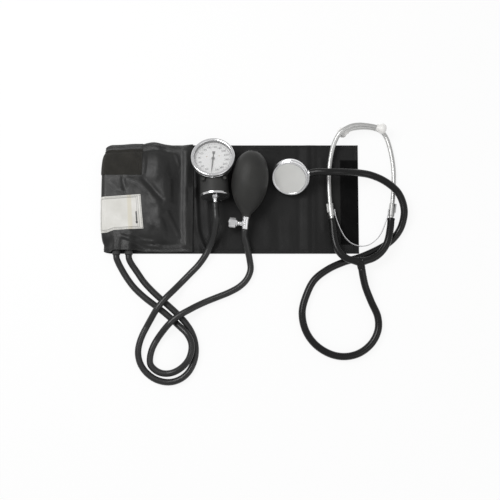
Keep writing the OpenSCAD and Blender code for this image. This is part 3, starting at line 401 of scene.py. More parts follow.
finishes = {
    "nylon": clothFinish("coatedNylon", cloud=22, dark=0.008, light=(0.014, 0.014, 0.0135), rough=(0.36, 0.48),
        sheen=0.03, specular=0.4, weave=0.45, weaveDepth=0.02, crumple=0.6),
    "lining": clothFinish("liningNylon", cloud=16, dark=0.005, light=0.009, rough=(0.46, 0.58), sheen=0.0,
        specular=0.24, weave=0.45, weaveDepth=0.02, crumple=0.3),
    "loop": clothFinish("loopTape", cloud=60, dark=(0.014, 0.013, 0.0105), light=(0.024, 0.022, 0.018),
        rough=(0.6, 0.75), sheen=0.12, specular=0.25, weave=0.6, weaveDepth=0.1, crumple=0.25),
    "hook": clothFinish("hookTape", cloud=50, dark=0.003, light=0.006, rough=(0.65, 0.8), sheen=0.0, specular=0.06,
        weave=0.8, weaveDepth=0.06, crumple=0.1),
    "thread": plainFinish("blackThread", cloud=300, dark=0.012, light=0.035, rough=(0.6, 0.8), specular=0.3),
    "hose": rubberFinish("hoseRubber", dark=0.012, light=0.019, rough=(0.28, 0.4), specular=0.45, sheen=0.02,
        grain=700, grainDepth=0.01),
    "tubing": rubberFinish("tubeRubber", dark=0.0035, light=0.0065, rough=(0.22, 0.32), specular=0.32, sheen=0.01,
        grain=700, grainDepth=0.008),
    "bulb": rubberFinish("bulbRubber", dark=(0.026, 0.026, 0.025), light=(0.036, 0.036, 0.034), rough=(0.46, 0.56),
        specular=0.24, sheen=0.02, grain=900, grainDepth=0.03),
    "bladder": rubberFinish("bladderRubber", dark=0.03, light=0.045, rough=(0.55, 0.7), specular=0.3, sheen=0.05,
        grain=600, grainDepth=0.03),
    "chrome": metalFinish("chromePlate", cloud=40, dark=(0.82, 0.82, 0.83), light=(0.9, 0.9, 0.91),
        rough=(0.14, 0.24)),
    "tubeMetal": metalFinish("satinTube", cloud=30, dark=(0.56, 0.56, 0.55), light=(0.66, 0.66, 0.65),
        rough=(0.38, 0.46)),
    "steel": metalFinish("springSteel", cloud=60, dark=(0.76, 0.76, 0.77), light=(0.88, 0.88, 0.89),
        rough=(0.34, 0.44)),
    "brass": metalFinish("movementBrass", cloud=90, dark=(0.62, 0.45, 0.2), light=(0.76, 0.58, 0.28),
        rough=(0.22, 0.36)),
    "bronze": metalFinish("capsuleBronze", cloud=90, dark=(0.5, 0.32, 0.16), light=(0.64, 0.44, 0.24),
        rough=(0.28, 0.4)),
    "case": plainFinish("blackEnamel", cloud=50, dark=(0.031, 0.031, 0.03), light=(0.042, 0.042, 0.041),
        rough=(0.5, 0.6), specular=0.25, grain=1100, grainDepth=0.02),
    "blackPlastic": plainFinish("blackPlastic", cloud=50, dark=0.02, light=0.03, rough=(0.4, 0.5)),
    "blackened": plainFinish("blackenedSteel", cloud=80, dark=0.012, light=0.022, rough=(0.45, 0.6), specular=0.3),
    "dial": plainFinish("dialEnamel", cloud=20, dark=0.72, light=0.77, rough=(0.45, 0.55)),
    "ink": plainFinish("dialInk", cloud=200, dark=0.02, light=0.04, rough=(0.5, 0.6)),
    "film": plainFinish("diaphragmFilm", cloud=25, dark=(0.6, 0.6, 0.58), light=(0.68, 0.68, 0.66), rough=(0.3, 0.4),
        coat=0.15),
    "earTip": plainFinish("softTip", cloud=60, dark=(0.86, 0.85, 0.83), light=(0.92, 0.91, 0.89), rough=(0.3, 0.4)),
}


def crystalFinish():
    mat, _, bsdf = newFinish("clearCrystal")
    for key, value in {"Base Color": white, "Roughness": 0.04, "Alpha": 0.12, "Specular IOR Level": 0.8}.items():
        bsdf.inputs[key].default_value = value
    return mat


def labelFinish(c):
    mat, t, bsdf = newFinish("labelFilm")
    where = clothCoords(t)
    axes = wire(t, "ShaderNodeSeparateXYZ", {0: where}).outputs
    x, y = (mathNode(t, "MULTIPLY", axes[k], 1000) for k in "XY")

    def offset(value, centre):
        return mathNode(t, "ABSOLUTE", mathNode(t, "SUBTRACT", value, centre))

    def boxDistance(cx, cy, hx, hy):
        return mathNode(t, "MAXIMUM", mathNode(t, "SUBTRACT", offset(x, cx), hx),
                        mathNode(t, "SUBTRACT", offset(y, cy), hy))
    length, width, lines = c["length"], c["high"] - c["low"], 0
    for x0, x1, y0, y1 in c["frames"]:
        away = boxDistance((x0 + length - x1) / 2, (y0 + width - y1) / 2,
                           (length - x1 - x0) / 2, (width - y1 - y0) / 2)
        line = mathNode(t, "LESS_THAN", mathNode(t, "ABSOLUTE", away), c["line"] / 2)
        lines = mathNode(t, "MAXIMUM", line, lines)
    ax, ay, half = c["arrow"]
    shaft = mathNode(t, "LESS_THAN", boxDistance(ax, ay, c["shaft"], half), 0)
    reach = mathNode(t, "SUBTRACT", y, ay - half - 2.6)
    wide = mathNode(t, "LESS_THAN", offset(x, ax), mathNode(t, "MULTIPLY", reach, 0.62))
    head = mathNode(t, "MULTIPLY", wide, mathNode(t, "LESS_THAN", reach, c["head"]))
    ink = mathNode(t, "MAXIMUM", mathNode(t, "MULTIPLY", lines, 0.75), mathNode(t, "MAXIMUM", shaft, head))
    paper = mixColour(t, spread(t, noiseNode(t, where, 45, 3), 0, 1), rgba(c["dark"]), rgba(c["light"]))
    fade = mathNode(t, "SUBTRACT", 0.4, mathNode(t, "MULTIPLY", boxDistance(c["crease"], width / 2, 2.6, width), 0.5))
    creased = mixColour(t, mathNode(t, "MINIMUM", fade, 0.7), paper, rgba(c["stain"]))
    t.links.new(mixColour(t, ink, creased, rgba(0.03)), bsdf.inputs["Base Color"])
    bsdf.inputs["Roughness"].default_value = 0.55
    bump(t, bsdf, weaveHeight(t, where, 0.35), 0.02)
    return mat


finishes["crystal"] = crystalFinish()
label = {"length": 56, "low": -45.5, "high": 1.5, "frames": ((2, 4.6, 2.6, 2.6), (3.2, 6.6, 3.4, 3.4)),
         "line": 0.42, "arrow": (48.2, 17, 7.5), "shaft": 0.75, "head": 3, "crease": 40,
         "skew": 0.065, "lean": 0.085, "thick": 0.4, "gap": 0.3,
         "dark": (0.6, 0.59, 0.55), "light": (0.72, 0.71, 0.68), "stain": (0.62, 0.58, 0.47)}
finishes["label"] = labelFinish(label)
print("finishes made")


# Mesh helpers; all points are in millimetres
def meshPiece(name, points, faces, finish, sharp, uvs=None):
    mesh = bpy.data.meshes.new(name)
    mesh.from_pydata([tuple(c * mm for c in p) for p in points], [], faces)
    if uvs:
        layer = mesh.uv_layers.new(name="run")
        for loop in mesh.loops:
            u, v = uvs[loop.vertex_index]
            layer.data[loop.index].uv = (u * mm, v * mm)
    mesh.update()
    mesh.materials.append(finishes[finish])
    for face in mesh.polygons:
        face.use_smooth = True
    bm = bmesh.new()
    bm.from_mesh(mesh)
    bmesh.ops.remove_doubles(bm, verts=bm.verts, dist=1e-6)
    bmesh.ops.recalc_face_normals(bm, faces=bm.faces)
    for e in bm.edges:
        e.smooth = e.calc_face_angle(0) < math.radians(sharp)
    bm.to_mesh(mesh)
    bm.free()
    return addObject(name, mesh)


def gridFaces(rows, cols, first=0, flip=False, closed=False):
    faces = []
    for i in range(rows - 1):
        for j in range(cols if closed else cols - 1):
            a, b = first + i * cols + j, first + i * cols + (j + 1) % cols
            quad = (a, b, b + cols, a + cols)
            faces.append(quad[::-1] if flip else quad)
    return faces


def layerPiece(name, low, high, lowUv, finish):
    rows, cols = len(low), len(low[0])
    points = [p for grid in (low, high) for row in grid for p in row]
    n, last = rows * cols, (rows - 1) * cols
    faces = gridFaces(rows, cols) + gridFaces(rows, cols, n, flip=True)
    rim = [*range(cols), *range(2 * cols - 1, n, cols), *range(n - 2, last - 1, -1), *range(last - cols, 0, -cols)]
    faces += [(b, a, n + a, n + b) for a, b in zip(rim, rim[1:] + rim[:1])]
    return meshPiece(name, points, faces, finish, 60, [p for row in lowUv for p in row] * 2)


def smoothRoute(points, step):
    pts = [Vector(p) for p in points]
    pts = [2 * pts[0] - pts[1]] + pts + [2 * pts[-1] - pts[-2]]
    out = []
    for i in range(1, len(pts) - 2):
        a, b, c, d = pts[i - 1:i + 3]
        n = max(1, round((c - b).length / step))
        for k in range(n):
            t = k / n
            out.append(0.5 * (2 * b + (c - a) * t + (2 * a - 5 * b + 4 * c - d) * t * t
                              + (3 * b - a - 3 * c + d) * t ** 3))
    out.append(pts[-2])
    return out


def runs(points):
    return list(accumulate(((b - a).length for a, b in zip(points, points[1:])), initial=0.0))


def middleRuns(grid):
    return runs([Vector(row[(len(row) - 1) // 2]) for row in grid])


def evenRoute(points, step):
    fine = smoothRoute(points, step / 3)
    run = runs(fine)
    count = max(2, round(run[-1] / step))
    out, k = [], 0
    for i in range(count + 1):
        goal = run[-1] * i / count
        while k < len(run) - 2 and run[k + 1] < goal:
            k += 1
        f = (goal - run[k]) / max(run[k + 1] - run[k], 1e-9)
        out.append(fine[k].lerp(fine[k + 1], min(1, f)))
    return out, run[-1]


def tubePiece(name, points, radius, finish, sides=28, step=2.0, swell=None, dome=0.6):
    route, length = evenRoute(points, step)
    for p in route:
        p.z = max(p.z, radius + 0.05)
    rings, uvs, up = [], [], None
    last = len(route) - 1
    for i, p in enumerate(route):
        along = (route[min(i + 1, last)] - route[max(i - 1, 0)]).normalized()
        if up is None:
            up = along.cross(Vector((0, 0, 1))).normalized()
        up = (up - along * up.dot(along)).normalized()
        side = along.cross(up)
        s = i / last * length
        r = radius + (swell(s, length) if swell else 0)
        for k in range(sides):
            a = 2 * math.pi * k / sides
            rings.append(p + (up * math.cos(a) + side * math.sin(a)) * r)
            uvs.append((s, 2 * math.pi * radius * k / sides))
    faces = gridFaces(last + 1, sides, closed=True)
    for end, out in ((0, route[0] - route[1]), (last, route[-1] - route[-2])):
        base, out = end * sides, out.normalized()
        inner = len(rings)
        for k in range(sides):
            rings.append(route[end] + (rings[base + k] - route[end]) * (1 - dome / radius) + out * dome * 0.5)
            uvs.append(uvs[base + k])
        centre = len(rings)
        rings.append(route[end] + out * dome * 0.5)
        uvs.append(uvs[base])
        for k in range(sides):
            m = (k + 1) % sides
            faces.append((base + m, base + k, inner + k, inner + m))
            faces.append((inner + m, inner + k, centre))
    return meshPiece(name, rings, faces, finish, 70, uvs), [tuple(c * mm for c in p) for p in route], length * mm


def lathePiece(name, profile, place, finish, segments=96, ripple=None, sharp=40):
    rings = []
    for r, z in profile:
        for k in range(segments):
            a = 2 * math.pi * k / segments
            q = r + (ripple(r, z, a) if ripple else 0)
            rings.append(place @ Vector((q * math.cos(a), q * math.sin(a), z)))
    return meshPiece(name, rings, gridFaces(len(profile), segments, closed=True), finish, sharp)


def turned(axis, degrees):
    return Matrix.Rotation(math.radians(degrees), 4, axis)


# Cuff: one strip folded back over itself; its sizes are the CAD's
cuff = {
    "length": 335, "width": 143, "flap": 119, "cloth": 0.9, "gap": 0.15, "bladderThick": 4.4, "bladderLength": 106,
    "bladderWidth": 122, "seamLine": 105, "corner": 15, "neckRoom": 11.2, "hemStitch": 3.6, "flapHem": 16,
    "necks": (21, 37),
}
foldX = -cuff["length"] / 2
flapX = foldX + cuff["flap"]
tailX = cuff["length"] / 2
seamT = 2 * cuff["cloth"] + cuff["gap"]
turnX = foldX + (seamT + cuff["bladderThick"] + cuff["gap"])
# Ridges and creases of the cloth: height, width and path, in millimetres
flapFolds = [
    (1.7, 6.5, [(-94, 66), (-94, 46), (-96, 30)]),
    (1.5, 6.0, [(-92, -2), (-93, -20), (-92, -34), (-86, -52)]),
    (-1.2, 9.0, [(-74, 64), (-74, -62)]),
    (1.7, 4.4, [(-58, 62), (-58, 9), (-59, -19), (-57, -60)]),
    (-2.0, 3.2, [(-113, 28), (-104, 17), (-96, 8), (-87, -1)]),
    (1.4, 6.0, [(-131, 24), (-116, 18), (-106, 6), (-99, -4)]),
    (-1.4, 2.8, [(-139, 28), (-138, 21), (-136, 13)]),
    (1.3, 2.6, [(-73, 62), (-70, 54), (-66, 45)]),
    (-0.9, 2.0, [(-64.5, 60), (-64, 30)]),
    (1.7, 3.0, [(-80, -20), (-74, -32), (-67, -48)]),
    (-1.5, 2.8, [(-85, -26), (-79, -38), (-71, -55)]),
    (1.7, 2.6, [(-138, -50), (-124, -56), (-106, -61), (-92, -63)]),
    (-1.3, 2.1, [(-137, -54), (-124, -60), (-108, -66)]),
    (1.2, 1.9, [(-130, -49), (-114, -54), (-98, -57)]),
    (-1.1, 1.9, [(-136, -46), (-118, -51), (-102, -54)]),
    (0.9, 2.4, [(-122, -63), (-104, -67)]),
    (1.0, 2.6, [(-154, 65), (-136, 66), (-116, 68)]),
    (-1.1, 2.2, [(-118, 62), (-114, 66), (-110, 71)]),
    (-1.0, 2.6, [(-108, 61), (-107, 44), (-109, 32)]),
    (1.2, 4.0, [(-104, -31), (-100, -36)]),
    (-0.9, 3.0, [(-108, -27), (-112, -38)]),
    (-1.0, 3.5, [(-54, 12), (-53, -2)]),
    (0.9, 3.5, [(-77, 22), (-76, -6)]),
    (-0.6, 3.0, [(-70, 16), (-71, -14)]),
    (0.9, 4.0, [(-125, -47), (-118, -40)]),
    (0.8, 3.5, [(-155, 20), (-140, 8)]),
]
lowFolds = [
    (1.7, 2.3, [(-46, 58), (-46, 30), (-44, -6), (-42, -40), (-36, -58), (-31, -68)]),
    (-0.5, 2.0, [(-41.5, 56), (-41, 20), (-39, -20), (-36, -44)]),
    (0.9, 2.6, [(-30, -2), (-29, -29), (-27, -50)]),
    (0.5, 3.5, [(-15, -46), (-10, -63)]),
    (-0.5, 2.6, [(90, 71), (90, -71)]),
    (-0.5, 2.6, [(107, 71), (107, -71)]),
    (0.55, 5.0, [(98.5, 71), (98.5, -71)]),
    (0.4, 6, [(49, -22), (51, -60)]),
    (0.4, 5, [(77, -26), (78, -60)]),
    (0.5, 4, [(30, 66), (60, 63)]),
    (-0.4, 4, [(62, -30), (64, -66)]),
    (0.5, 3, [(119, 52), (122, -40)]),
    (0.4, 4, [(-8, -40), (-12, -62)]),
    (0.5, 3.5, [(-20, 66), (20, 64), (50, 67)]),
]


def ease(x):
    c = min(max(x, 0), 1)
    return c * c * (3 - 2 * c)


def bell(x, w):
    return math.exp(-(x / w) ** 2)


def foldHeight(folds, x, y):
    total = 0
    for h, w, path in folds:
        if not min(p[0] for p in path) - 3 * w < x < max(p[0] for p in path) + 3 * w:
            continue
        best = 1e9
        for a, b in zip(path, path[1:] or path):
            dx, dy = b[0] - a[0], b[1] - a[1]
            f = min(max(((x - a[0]) * dx + (y - a[1]) * dy) / max(dx * dx + dy * dy, 1e-9), 0), 1)
            best = min(best, math.hypot(x - a[0] - f * dx, y - a[1] - f * dy))
        total += h * bell(best, w)
    return total


# Heights of the layers: the bladder's fill, its buckles, each layer and the gap; t is -1 to 1 across the cuff
def crown(x, t):
    v = abs(t) * cuff["width"] / cuff["bladderWidth"]
    u = (x - turnX - cuff["bladderLength"] + 33) / 27
    return 0 if v >= 1 else (1 - v ** 4) ** 0.6 * (1 - ease(u))


def buckle(x, y):
    return (-1.6 * bell(x + 0.55 * y + 92, 5) * ease((y + 62) / 30)
            - 1.3 * bell(x - 0.6 * y + 74, 4.5) * ease((-y - 4) / 24)
            - 1.1 * bell(x + 0.25 * y + 66, 4) * ease((60 - abs(y)) / 20)
            + 0.9 * bell(x - 0.3 * y + 80, 6) * ease((50 - abs(y)) / 20))


def lowerT(x, t):
    return (seamT + cuff["bladderThick"] * crown(x, t) + 0.6 * ease((8 - abs(x - cuff["seamLine"])) / 4)
            + 1.1 * bell(x - flapX - 4 - 7 * (t + 0.1) ** 2, 3.4) * ease(1.1 - t))


def upperT(x, t):
    return seamT + crown(x, t) * (cuff["bladderThick"]
                                  + 0.5 * buckle(x, t * cuff["width"] / 2) * ease((x - turnX - 52) / 14))


def between(x, t):
    if t >= 0:
        return 2 * cuff["gap"]
    hump = min(1, sum(1.03 * bell(x - foldX - n, 9) for n in cuff["necks"]))
    bag = 2 * cuff["bladderThick"]
    rise = bag * (crown(x, 0) - crown(x, t)) + (cuff["neckRoom"] - bag) * ease((-t - 0.33) / 0.55)
    return 2 * cuff["gap"] + hump * rise


# Outline: rounded corners, and how far the flap's edges are drawn in
def across(x, t):
    q = min(max((foldX + cuff["corner"] - x) / cuff["corner"], 0), 1)
    r = (cuff["corner"] if t > 0 else 0.45 * cuff["corner"]) * (1 - math.sqrt(1 - q * q)) * abs(t) ** 7
    return cuff["width"] / 2 * t - math.copysign(r, t)


def drawn(x, t):
    return 4 * ease(-t) * ease((x - turnX) / 14)


# Relief: hems, folds, and flatter cloth under the label and the loop tape
def hemGroove(edge):
    return -0.35 * bell(edge - cuff["hemStitch"], 0.9) + 0.25 * bell(edge - cuff["hemStitch"] / 2, 1.2)


def flapRise(x, y, t):
    edge = cuff["width"] / 2 * (1 - abs(t))
    soft = ease((x - turnX) / 8) * ease((edge + 3) / 12)
    patch = max(ease((turnX + 60 - x) / 8) * ease((y + 48) / 5) * ease((8 - y) / 5),
                ease((turnX + 54 - x) / 6) * ease((y - 25) / 5) * ease((70 - y) / 4))
    h = foldHeight(flapFolds, x, y) * soft * (1 - 0.92 * patch)
    thin = 1 - crown(x, t)
    h = max(h, -0.1 - 1.4 * (1 - thin))
    h += 0.9 * ease((x - flapX + 21) / 15) - 0.18 * bell(x - flapX + cuff["flapHem"], 1.4)
    h -= 0.9 * ease((x - flapX + 4.5) / 4.5)
    overNecks = ease((-118 - x) / 8) * ease(-2 * t)
    return h + hemGroove(edge) * (1 - patch) * (1 - overNecks)


def lowRise(x, y, t):
    edge = cuff["width"] / 2 * (1 - abs(t))
    return foldHeight(lowFolds, x, y) * ease((edge + 2) / 8) + hemGroove(edge) + hemGroove(tailX - x)


# How the flap's long edges wander from a straight line
def edgeWave(x, t):
    if t > 0:
        return ease((t - 0.55) / 0.45) * (1.5 * bell(x + 125, 14) + 3.6 * bell(x + 100, 12) - 1.1 * bell(x + 69, 9)
                                          + 0.8 * ease((x + 58) / 10) - 0.9 * bell(x + 112.6, 1.2))
    return -ease((-t - 0.6) / 0.4) * (2.4 * ease((-150 - x) / 6) + 2.2 * ease((x + 122) / 14)
                                      + 0.6 * bell(x + 84, 9) - 0.5 * bell(x + 62, 6))


# A point of the folded strip at a depth below its outer face; s is x, or the angle round the turn
def stripPoint(kind, s, t, depth):
    if kind == "lower":
        y = across(s, t)
        lift = lowRise(s, y, t) * ease((depth - seamT / 2 + 0.2) / 0.6) * ease((s - flapX + 12) / 6)
        return s, y, depth + lift
    if kind == "upper":
        y = across(s, t) + drawn(s, t) + edgeWave(s, t) * ease((s - turnX) / 20)
        lift = flapRise(s, y, t) * (1 - crown(s, t) * ease(depth / 3))
        return s, y, lowerT(s, t) + between(s, t) + upperT(s, t) - depth + lift + 0.15
    r = lowerT(turnX, t) + between(turnX, t) / 2
    x = turnX - (r - depth) * math.sin(s)
    return x, across(turnX - r * math.sin(s), t), r - (r - depth) * math.cos(s)


def layerDepth(kind, s, t):
    return upperT(s, t) if kind == "upper" else lowerT(turnX if kind == "turn" else s, t)


def stripRows(lowStep, highStep, turnCount, end=None):
    low, high = (tailX, flapX) if end is None else (end, end)
    n, m = round((low - turnX) / lowStep), round((high - turnX) / highStep)
    return ([("lower", low - (low - turnX) * i / n) for i in range(n + 1)]
            + [("turn", math.pi * i / (turnCount + 1)) for i in range(1, turnCount + 1)]
            + [("upper", turnX + (high - turnX) * i / m) for i in range(m + 1)])


def stripSpread(n, reach=1.0):
    return [reach * (0.6 * math.sin(math.pi / 2 * (2 * j / n - 1)) + 0.4 * (2 * j / n - 1)) for j in range(n + 1)]


def stripPiece(name, rows, spreadT, lowDepth, highDepth, finish):
    low, high = ([[stripPoint(kind, s, t, depth(kind, s, t)) for t in spreadT] for kind, s in rows]
                 for depth in (lowDepth, highDepth))
    uvs = [[(run, cuff["width"] / 2 * t) for t in spreadT] for run in middleRuns(low)]
    return layerPiece(name, low, high, uvs, finish)


shell = stripPiece("cuffShell", stripRows(6, 1.7, 18), stripSpread(76), lambda k, s, t: cuff["cloth"],
                   lambda k, s, t: 0, "nylon")
assign(shell, "cuff_outer_shell", "cuff_cloth")
lining = stripPiece("cuffLining", stripRows(2.0, 4, 18), stripSpread(70), layerDepth,
                    lambda k, s, t: layerDepth(k, s, t) - cuff["cloth"], "lining")
assign(lining, "cuff_inner_lining", "lining_cloth")
skin = cuff["cloth"] + cuff["gap"]
bladder = stripPiece("bladderBag", stripRows(4, 4, 12, turnX + cuff["bladderLength"] - 6), stripSpread(30, 0.84),
                     lambda k, s, t: max(layerDepth(k, s, t) - skin, layerDepth(k, s, t) / 2 + 0.04),
                     lambda k, s, t: min(skin, layerDepth(k, s, t) / 2 - 0.04), "bladder")
assign(bladder, "bladder", "bladder_rubber")
print("cuff cloth made")

# Patches on the flap, and the hook tape on the tail
loop = {"length": 53, "low": 30.4, "high": 64.8, "thick": 1.0, "gap": 0.1, "skew": 0, "lean": 0, "rib": 2.2,
        "ribDepth": 0.34}
hook = {"length": 23, "width": 111, "shift": -4, "thick": 1.0, "gap": 0.1, "pitch": 1.7, "tall": 1.0, "seed": 7}


def loopRelief(run, v):
    ribs = (0.5 - 0.5 * math.cos(2 * math.pi * run / loop["rib"])) * (0.12 + 0.88 * ease((run - 34) / 12))
    edge = min(v, loop["high"] - loop["low"] - v)
    return loop["ribDepth"] * ribs + 0.15 * bell(edge - 2.2, 0.6) + 0.5 * ease((1.2 - edge) / 1.2)


def patchPiece(name, c, finish, steps, relief=lambda run, v: 0):
    n, cols = round(c["length"] / steps[0]), round((c["high"] - c["low"]) / steps[1])
    rows = [("turn", math.radians(a)) for a in range(112, 180, 6)] \
        + [("upper", turnX + (foldX + c["length"] - turnX) * i / n) for i in range(n + 1)]
    vs = [(c["high"] - c["low"]) * j / cols for j in range(cols + 1)]

    def spot(kind, s, j, depth):
        x = s - turnX if kind == "upper" else 6.5 * (s - math.pi)
        along = turnX + x * (1 - c["lean"] * j / cols) if kind == "upper" else s
        return stripPoint(kind, along, (c["low"] + vs[j] + c["skew"] * x) / (cuff["width"] / 2), depth)
    low = [[spot(kind, s, j, -c["gap"]) for j in range(cols + 1)] for kind, s in rows]
    run = middleRuns(low)
    high = [[spot(kind, s, j, relief(u, v) - c["gap"] - c["thick"]) for j, v in enumerate(vs)]
            for u, (kind, s) in zip(run, rows)]
    return layerPiece(name, low, high, [[(u, v) for v in vs] for u in run], finish)


loopTape = patchPiece("loopTape", loop, "loop", (0.34, 0.8), loopRelief)
assign(loopTape, "loop_patch", "loop_tape")
labelSheet = patchPiece("blankLabel", label, "label", (1.4, 1.4))
assign(labelSheet, "blank_label", "label_film")


def hookBase(c):
    x0, y0, z0 = tailX - c["length"] - 0.5, -c["width"] / 2 + c["shift"], seamT + c["gap"]
    cols, rows = 24, 100
    flat = [[(c["length"] * j / cols, c["width"] * i / rows) for j in range(cols + 1)] for i in range(rows + 1)]

    def top(u, v):
        edge = min(u, c["length"] - u, v, c["width"] - v)
        return z0 + c["thick"] * (0.45 + 0.2 * ease(edge / 1.2)) - 0.2 * bell(edge - 2, 0.5)
    low, high = ([[(x0 + u, y0 + v, height(u, v)) for u, v in row] for row in flat]
                 for height in (lambda u, v: z0, top))
    return layerPiece("hookTape", low, high, flat, "hook")


hookTape = hookBase(hook)
assign(hookTape, "hook_patch", "hook_tape")
print("patches made")


# Geometry Nodes: a row of stitches, a ring of marks and a field of hooks
def newTree(name, inputs, build):
    tree = bpy.data.node_groups.new(name, "GeometryNodeTree")
    add = tree.interface.new_socket
    add("Geometry", in_out="INPUT", socket_type="NodeSocketGeometry")
    ids = {}
    for key, (kind, value) in {**inputs, "Material": ("Material", None)}.items():
        socket = add(key, in_out="INPUT", socket_type="NodeSocket" + kind)
        if value is not None:
            socket.default_value = value
        ids[key] = socket.identifier
    add("Geometry", in_out="OUTPUT", socket_type="NodeSocketGeometry")
    source = wire(tree, "NodeGroupInput").outputs
    points, shape, turn = build(tree, source)
    place = wire(tree, "GeometryNodeInstanceOnPoints", {"Points": points, "Instance": shape, "Rotation": turn})
    real = wire(tree, "GeometryNodeRealizeInstances", {0: place.outputs[0]})
    dress = wire(tree, "GeometryNodeSetMaterial", {"Geometry": real.outputs[0], "Material": source["Material"]})
    wire(tree, "NodeGroupOutput", {0: dress.outputs[0]})
    return tree, ids


def stitchNodes(tree, source):
    curve = wire(tree, "GeometryNodeMeshToCurve", {0: source["Geometry"]})
    even = wire(tree, "GeometryNodeResampleCurve", {"Curve": curve.outputs[0], "Length": source["Spacing"]},
                mode="LENGTH")
    turn = wire(tree, "FunctionNodeAlignRotationToVector",
                {"Vector": wire(tree, "GeometryNodeInputTangent").outputs[0]}, axis="Z")
    thread = wire(tree, "GeometryNodeMeshCylinder",
                  {"Vertices": 6, "Radius": source["Thickness"], "Depth": source["Length"]})
    return even.outputs[0], thread.outputs["Mesh"], turn.outputs[0]


def markNodes(tree, source):
    index = wire(tree, "GeometryNodeInputIndex").outputs[0]
    angle = mathNode(tree, "ADD", mathNode(tree, "MULTIPLY", index, source["Step"]), source["Start"])
    spot = wire(tree, "ShaderNodeCombineXYZ", {
        axis: mathNode(tree, "MULTIPLY", mathNode(tree, op, angle), source["Radius"])
        for axis, op in (("X", "SINE"), ("Y", "COSINE"))})
    line = wire(tree, "GeometryNodeMeshLine", {"Count": source["Count"]})
    move = wire(tree, "GeometryNodeSetPosition", {"Geometry": line.outputs[0], "Position": spot.outputs[0]})
    turn = wire(tree, "ShaderNodeCombineXYZ", {"Z": mathNode(tree, "MULTIPLY", angle, -1)})
    mark = wire(tree, "GeometryNodeMeshCube", {"Size": source["Size"]})
    return move.outputs[0], mark.outputs["Mesh"], turn.outputs[0]


def hookNodes(tree, source):
    grid = wire(tree, "GeometryNodeMeshGrid",
                {i: source[key] for i, key in enumerate(("Size X", "Size Y", "Rows X", "Rows Y"))})
    shape = wire(tree, "GeometryNodeObjectInfo", {"Object": source["Hook"]})
    lean = wire(tree, "FunctionNodeRandomValue",
                {0: (-0.15, -0.15, -0.3), 1: (0.15, 0.15, 0.3), "Seed": source["Seed"]}, data_type="FLOAT_VECTOR")
    return grid.outputs["Mesh"], shape.outputs["Geometry"], lean.outputs[0]


trees = {
    "stitch": newTree("stitchRow", {"Spacing": ("Float", 0.003), "Length": ("Float", 0.002),
                                    "Thickness": ("Float", 0.0003)}, stitchNodes),
    "mark": newTree("markRing", {"Count": ("Int", 16), "Start": ("Float", 0.0), "Step": ("Float", 0.1),
                                 "Radius": ("Float", 0.02), "Size": ("Vector", (0.001, 0.001, 0.001))}, markNodes),
    "hook": newTree("hookField", {"Size X": ("Float", 0.02), "Size Y": ("Float", 0.1), "Rows X": ("Int", 10),
                                  "Rows Y": ("Int", 50), "Hook": ("Object", None), "Seed": ("Int", 7)}, hookNodes),
}


def grow(name, carrier, kind, values, place=None):
    tree, ids = trees[kind]
    mod = carrier.modifiers.new(kind, "NODES")
    mod.node_group = tree
    for key, value in values.items():
        mod[ids[key]] = value
    made = finalMesh(carrier)
    made.name = name
    bpy.data.objects.remove(carrier)
    if place:
        made.transform(place)
    return addObject(name, made)


def emptyCarrier(paths=()):
    mesh = bpy.data.meshes.new("carrier")
    lines, verts = [], []
    for path in paths:
        first = len(verts)
        verts += [tuple(c * mm for c in p) for p in path]
        lines += [(first + i, first + i + 1) for i in range(len(path) - 1)]
    mesh.from_pydata(verts, lines, [])
    return addObject("carrier", mesh)


stitch = {"spacing": 2.6, "length": 1.9, "thick": 0.22, "proud": 0.1, "seams": (141, 91, 107.5)}
fineStitch = {"spacing": 2.2, "length": 1.5, "thick": 0.18}


def steps(a, b, n):
    return [a + (b - a) * i / n for i in range(n + 1)]


def stitchPaths(c):
    inner = 1 - 2 * cuff["hemStitch"] / cuff["width"]

    def under(s, t):
        return stripPoint("lower", s, t, lowerT(s, t) + c["proud"])
    side = [("turn", math.pi * i / 16) for i in range(9, 16)] \
        + [("upper", s) for s in steps(turnX, flapX - cuff["hemStitch"], 60)]
    paths = []
    for t in (inner, -inner):
        paths.append([stripPoint(kind, s, t, -c["proud"]) for kind, s in side])
        paths.append([under(s, t) for s in steps(tailX - cuff["hemStitch"], flapX + 6, 90)])
    for s in (flapX - cuff["hemStitch"], flapX - cuff["flapHem"]):
        paths.append([stripPoint("upper", s, t, -c["proud"]) for t in steps(-inner, inner, 60)])
    for s in (tailX - cuff["hemStitch"], *c["seams"]):
        paths.append([under(s, t) for t in steps(-inner, inner, 60)])
    return paths


def patchStitchPaths():
    paths = []
    for c, inset, proud in ((loop, 2.2, -0.3), (label, 1.2, 0.08)):
        low, wide = c["low"], c["high"] - c["low"]
        run = foldX + c["length"] - inset - turnX

        def spot(x, v):
            return stripPoint("upper", turnX + x, (low + v + c["skew"] * x) / (cuff["width"] / 2),
                              -c["gap"] - c["thick"] - proud)
        for v in (inset, wide - inset):
            paths.append([spot(x, v) for x in steps(0, run * (1 - c["lean"] * v / wide), 24)])
        paths.append([spot(run * (1 - c["lean"] * v / wide), v) for v in steps(inset, wide - inset, 20)])
    return paths


def stitchRow(name, paths, c):
    row = grow(name, emptyCarrier(paths), "stitch", {
        "Spacing": c["spacing"] * mm, "Length": c["length"] * mm, "Thickness": c["thick"] * mm,
        "Material": finishes["thread"]})
    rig.slot(row, "cuff_cloth")
    return row


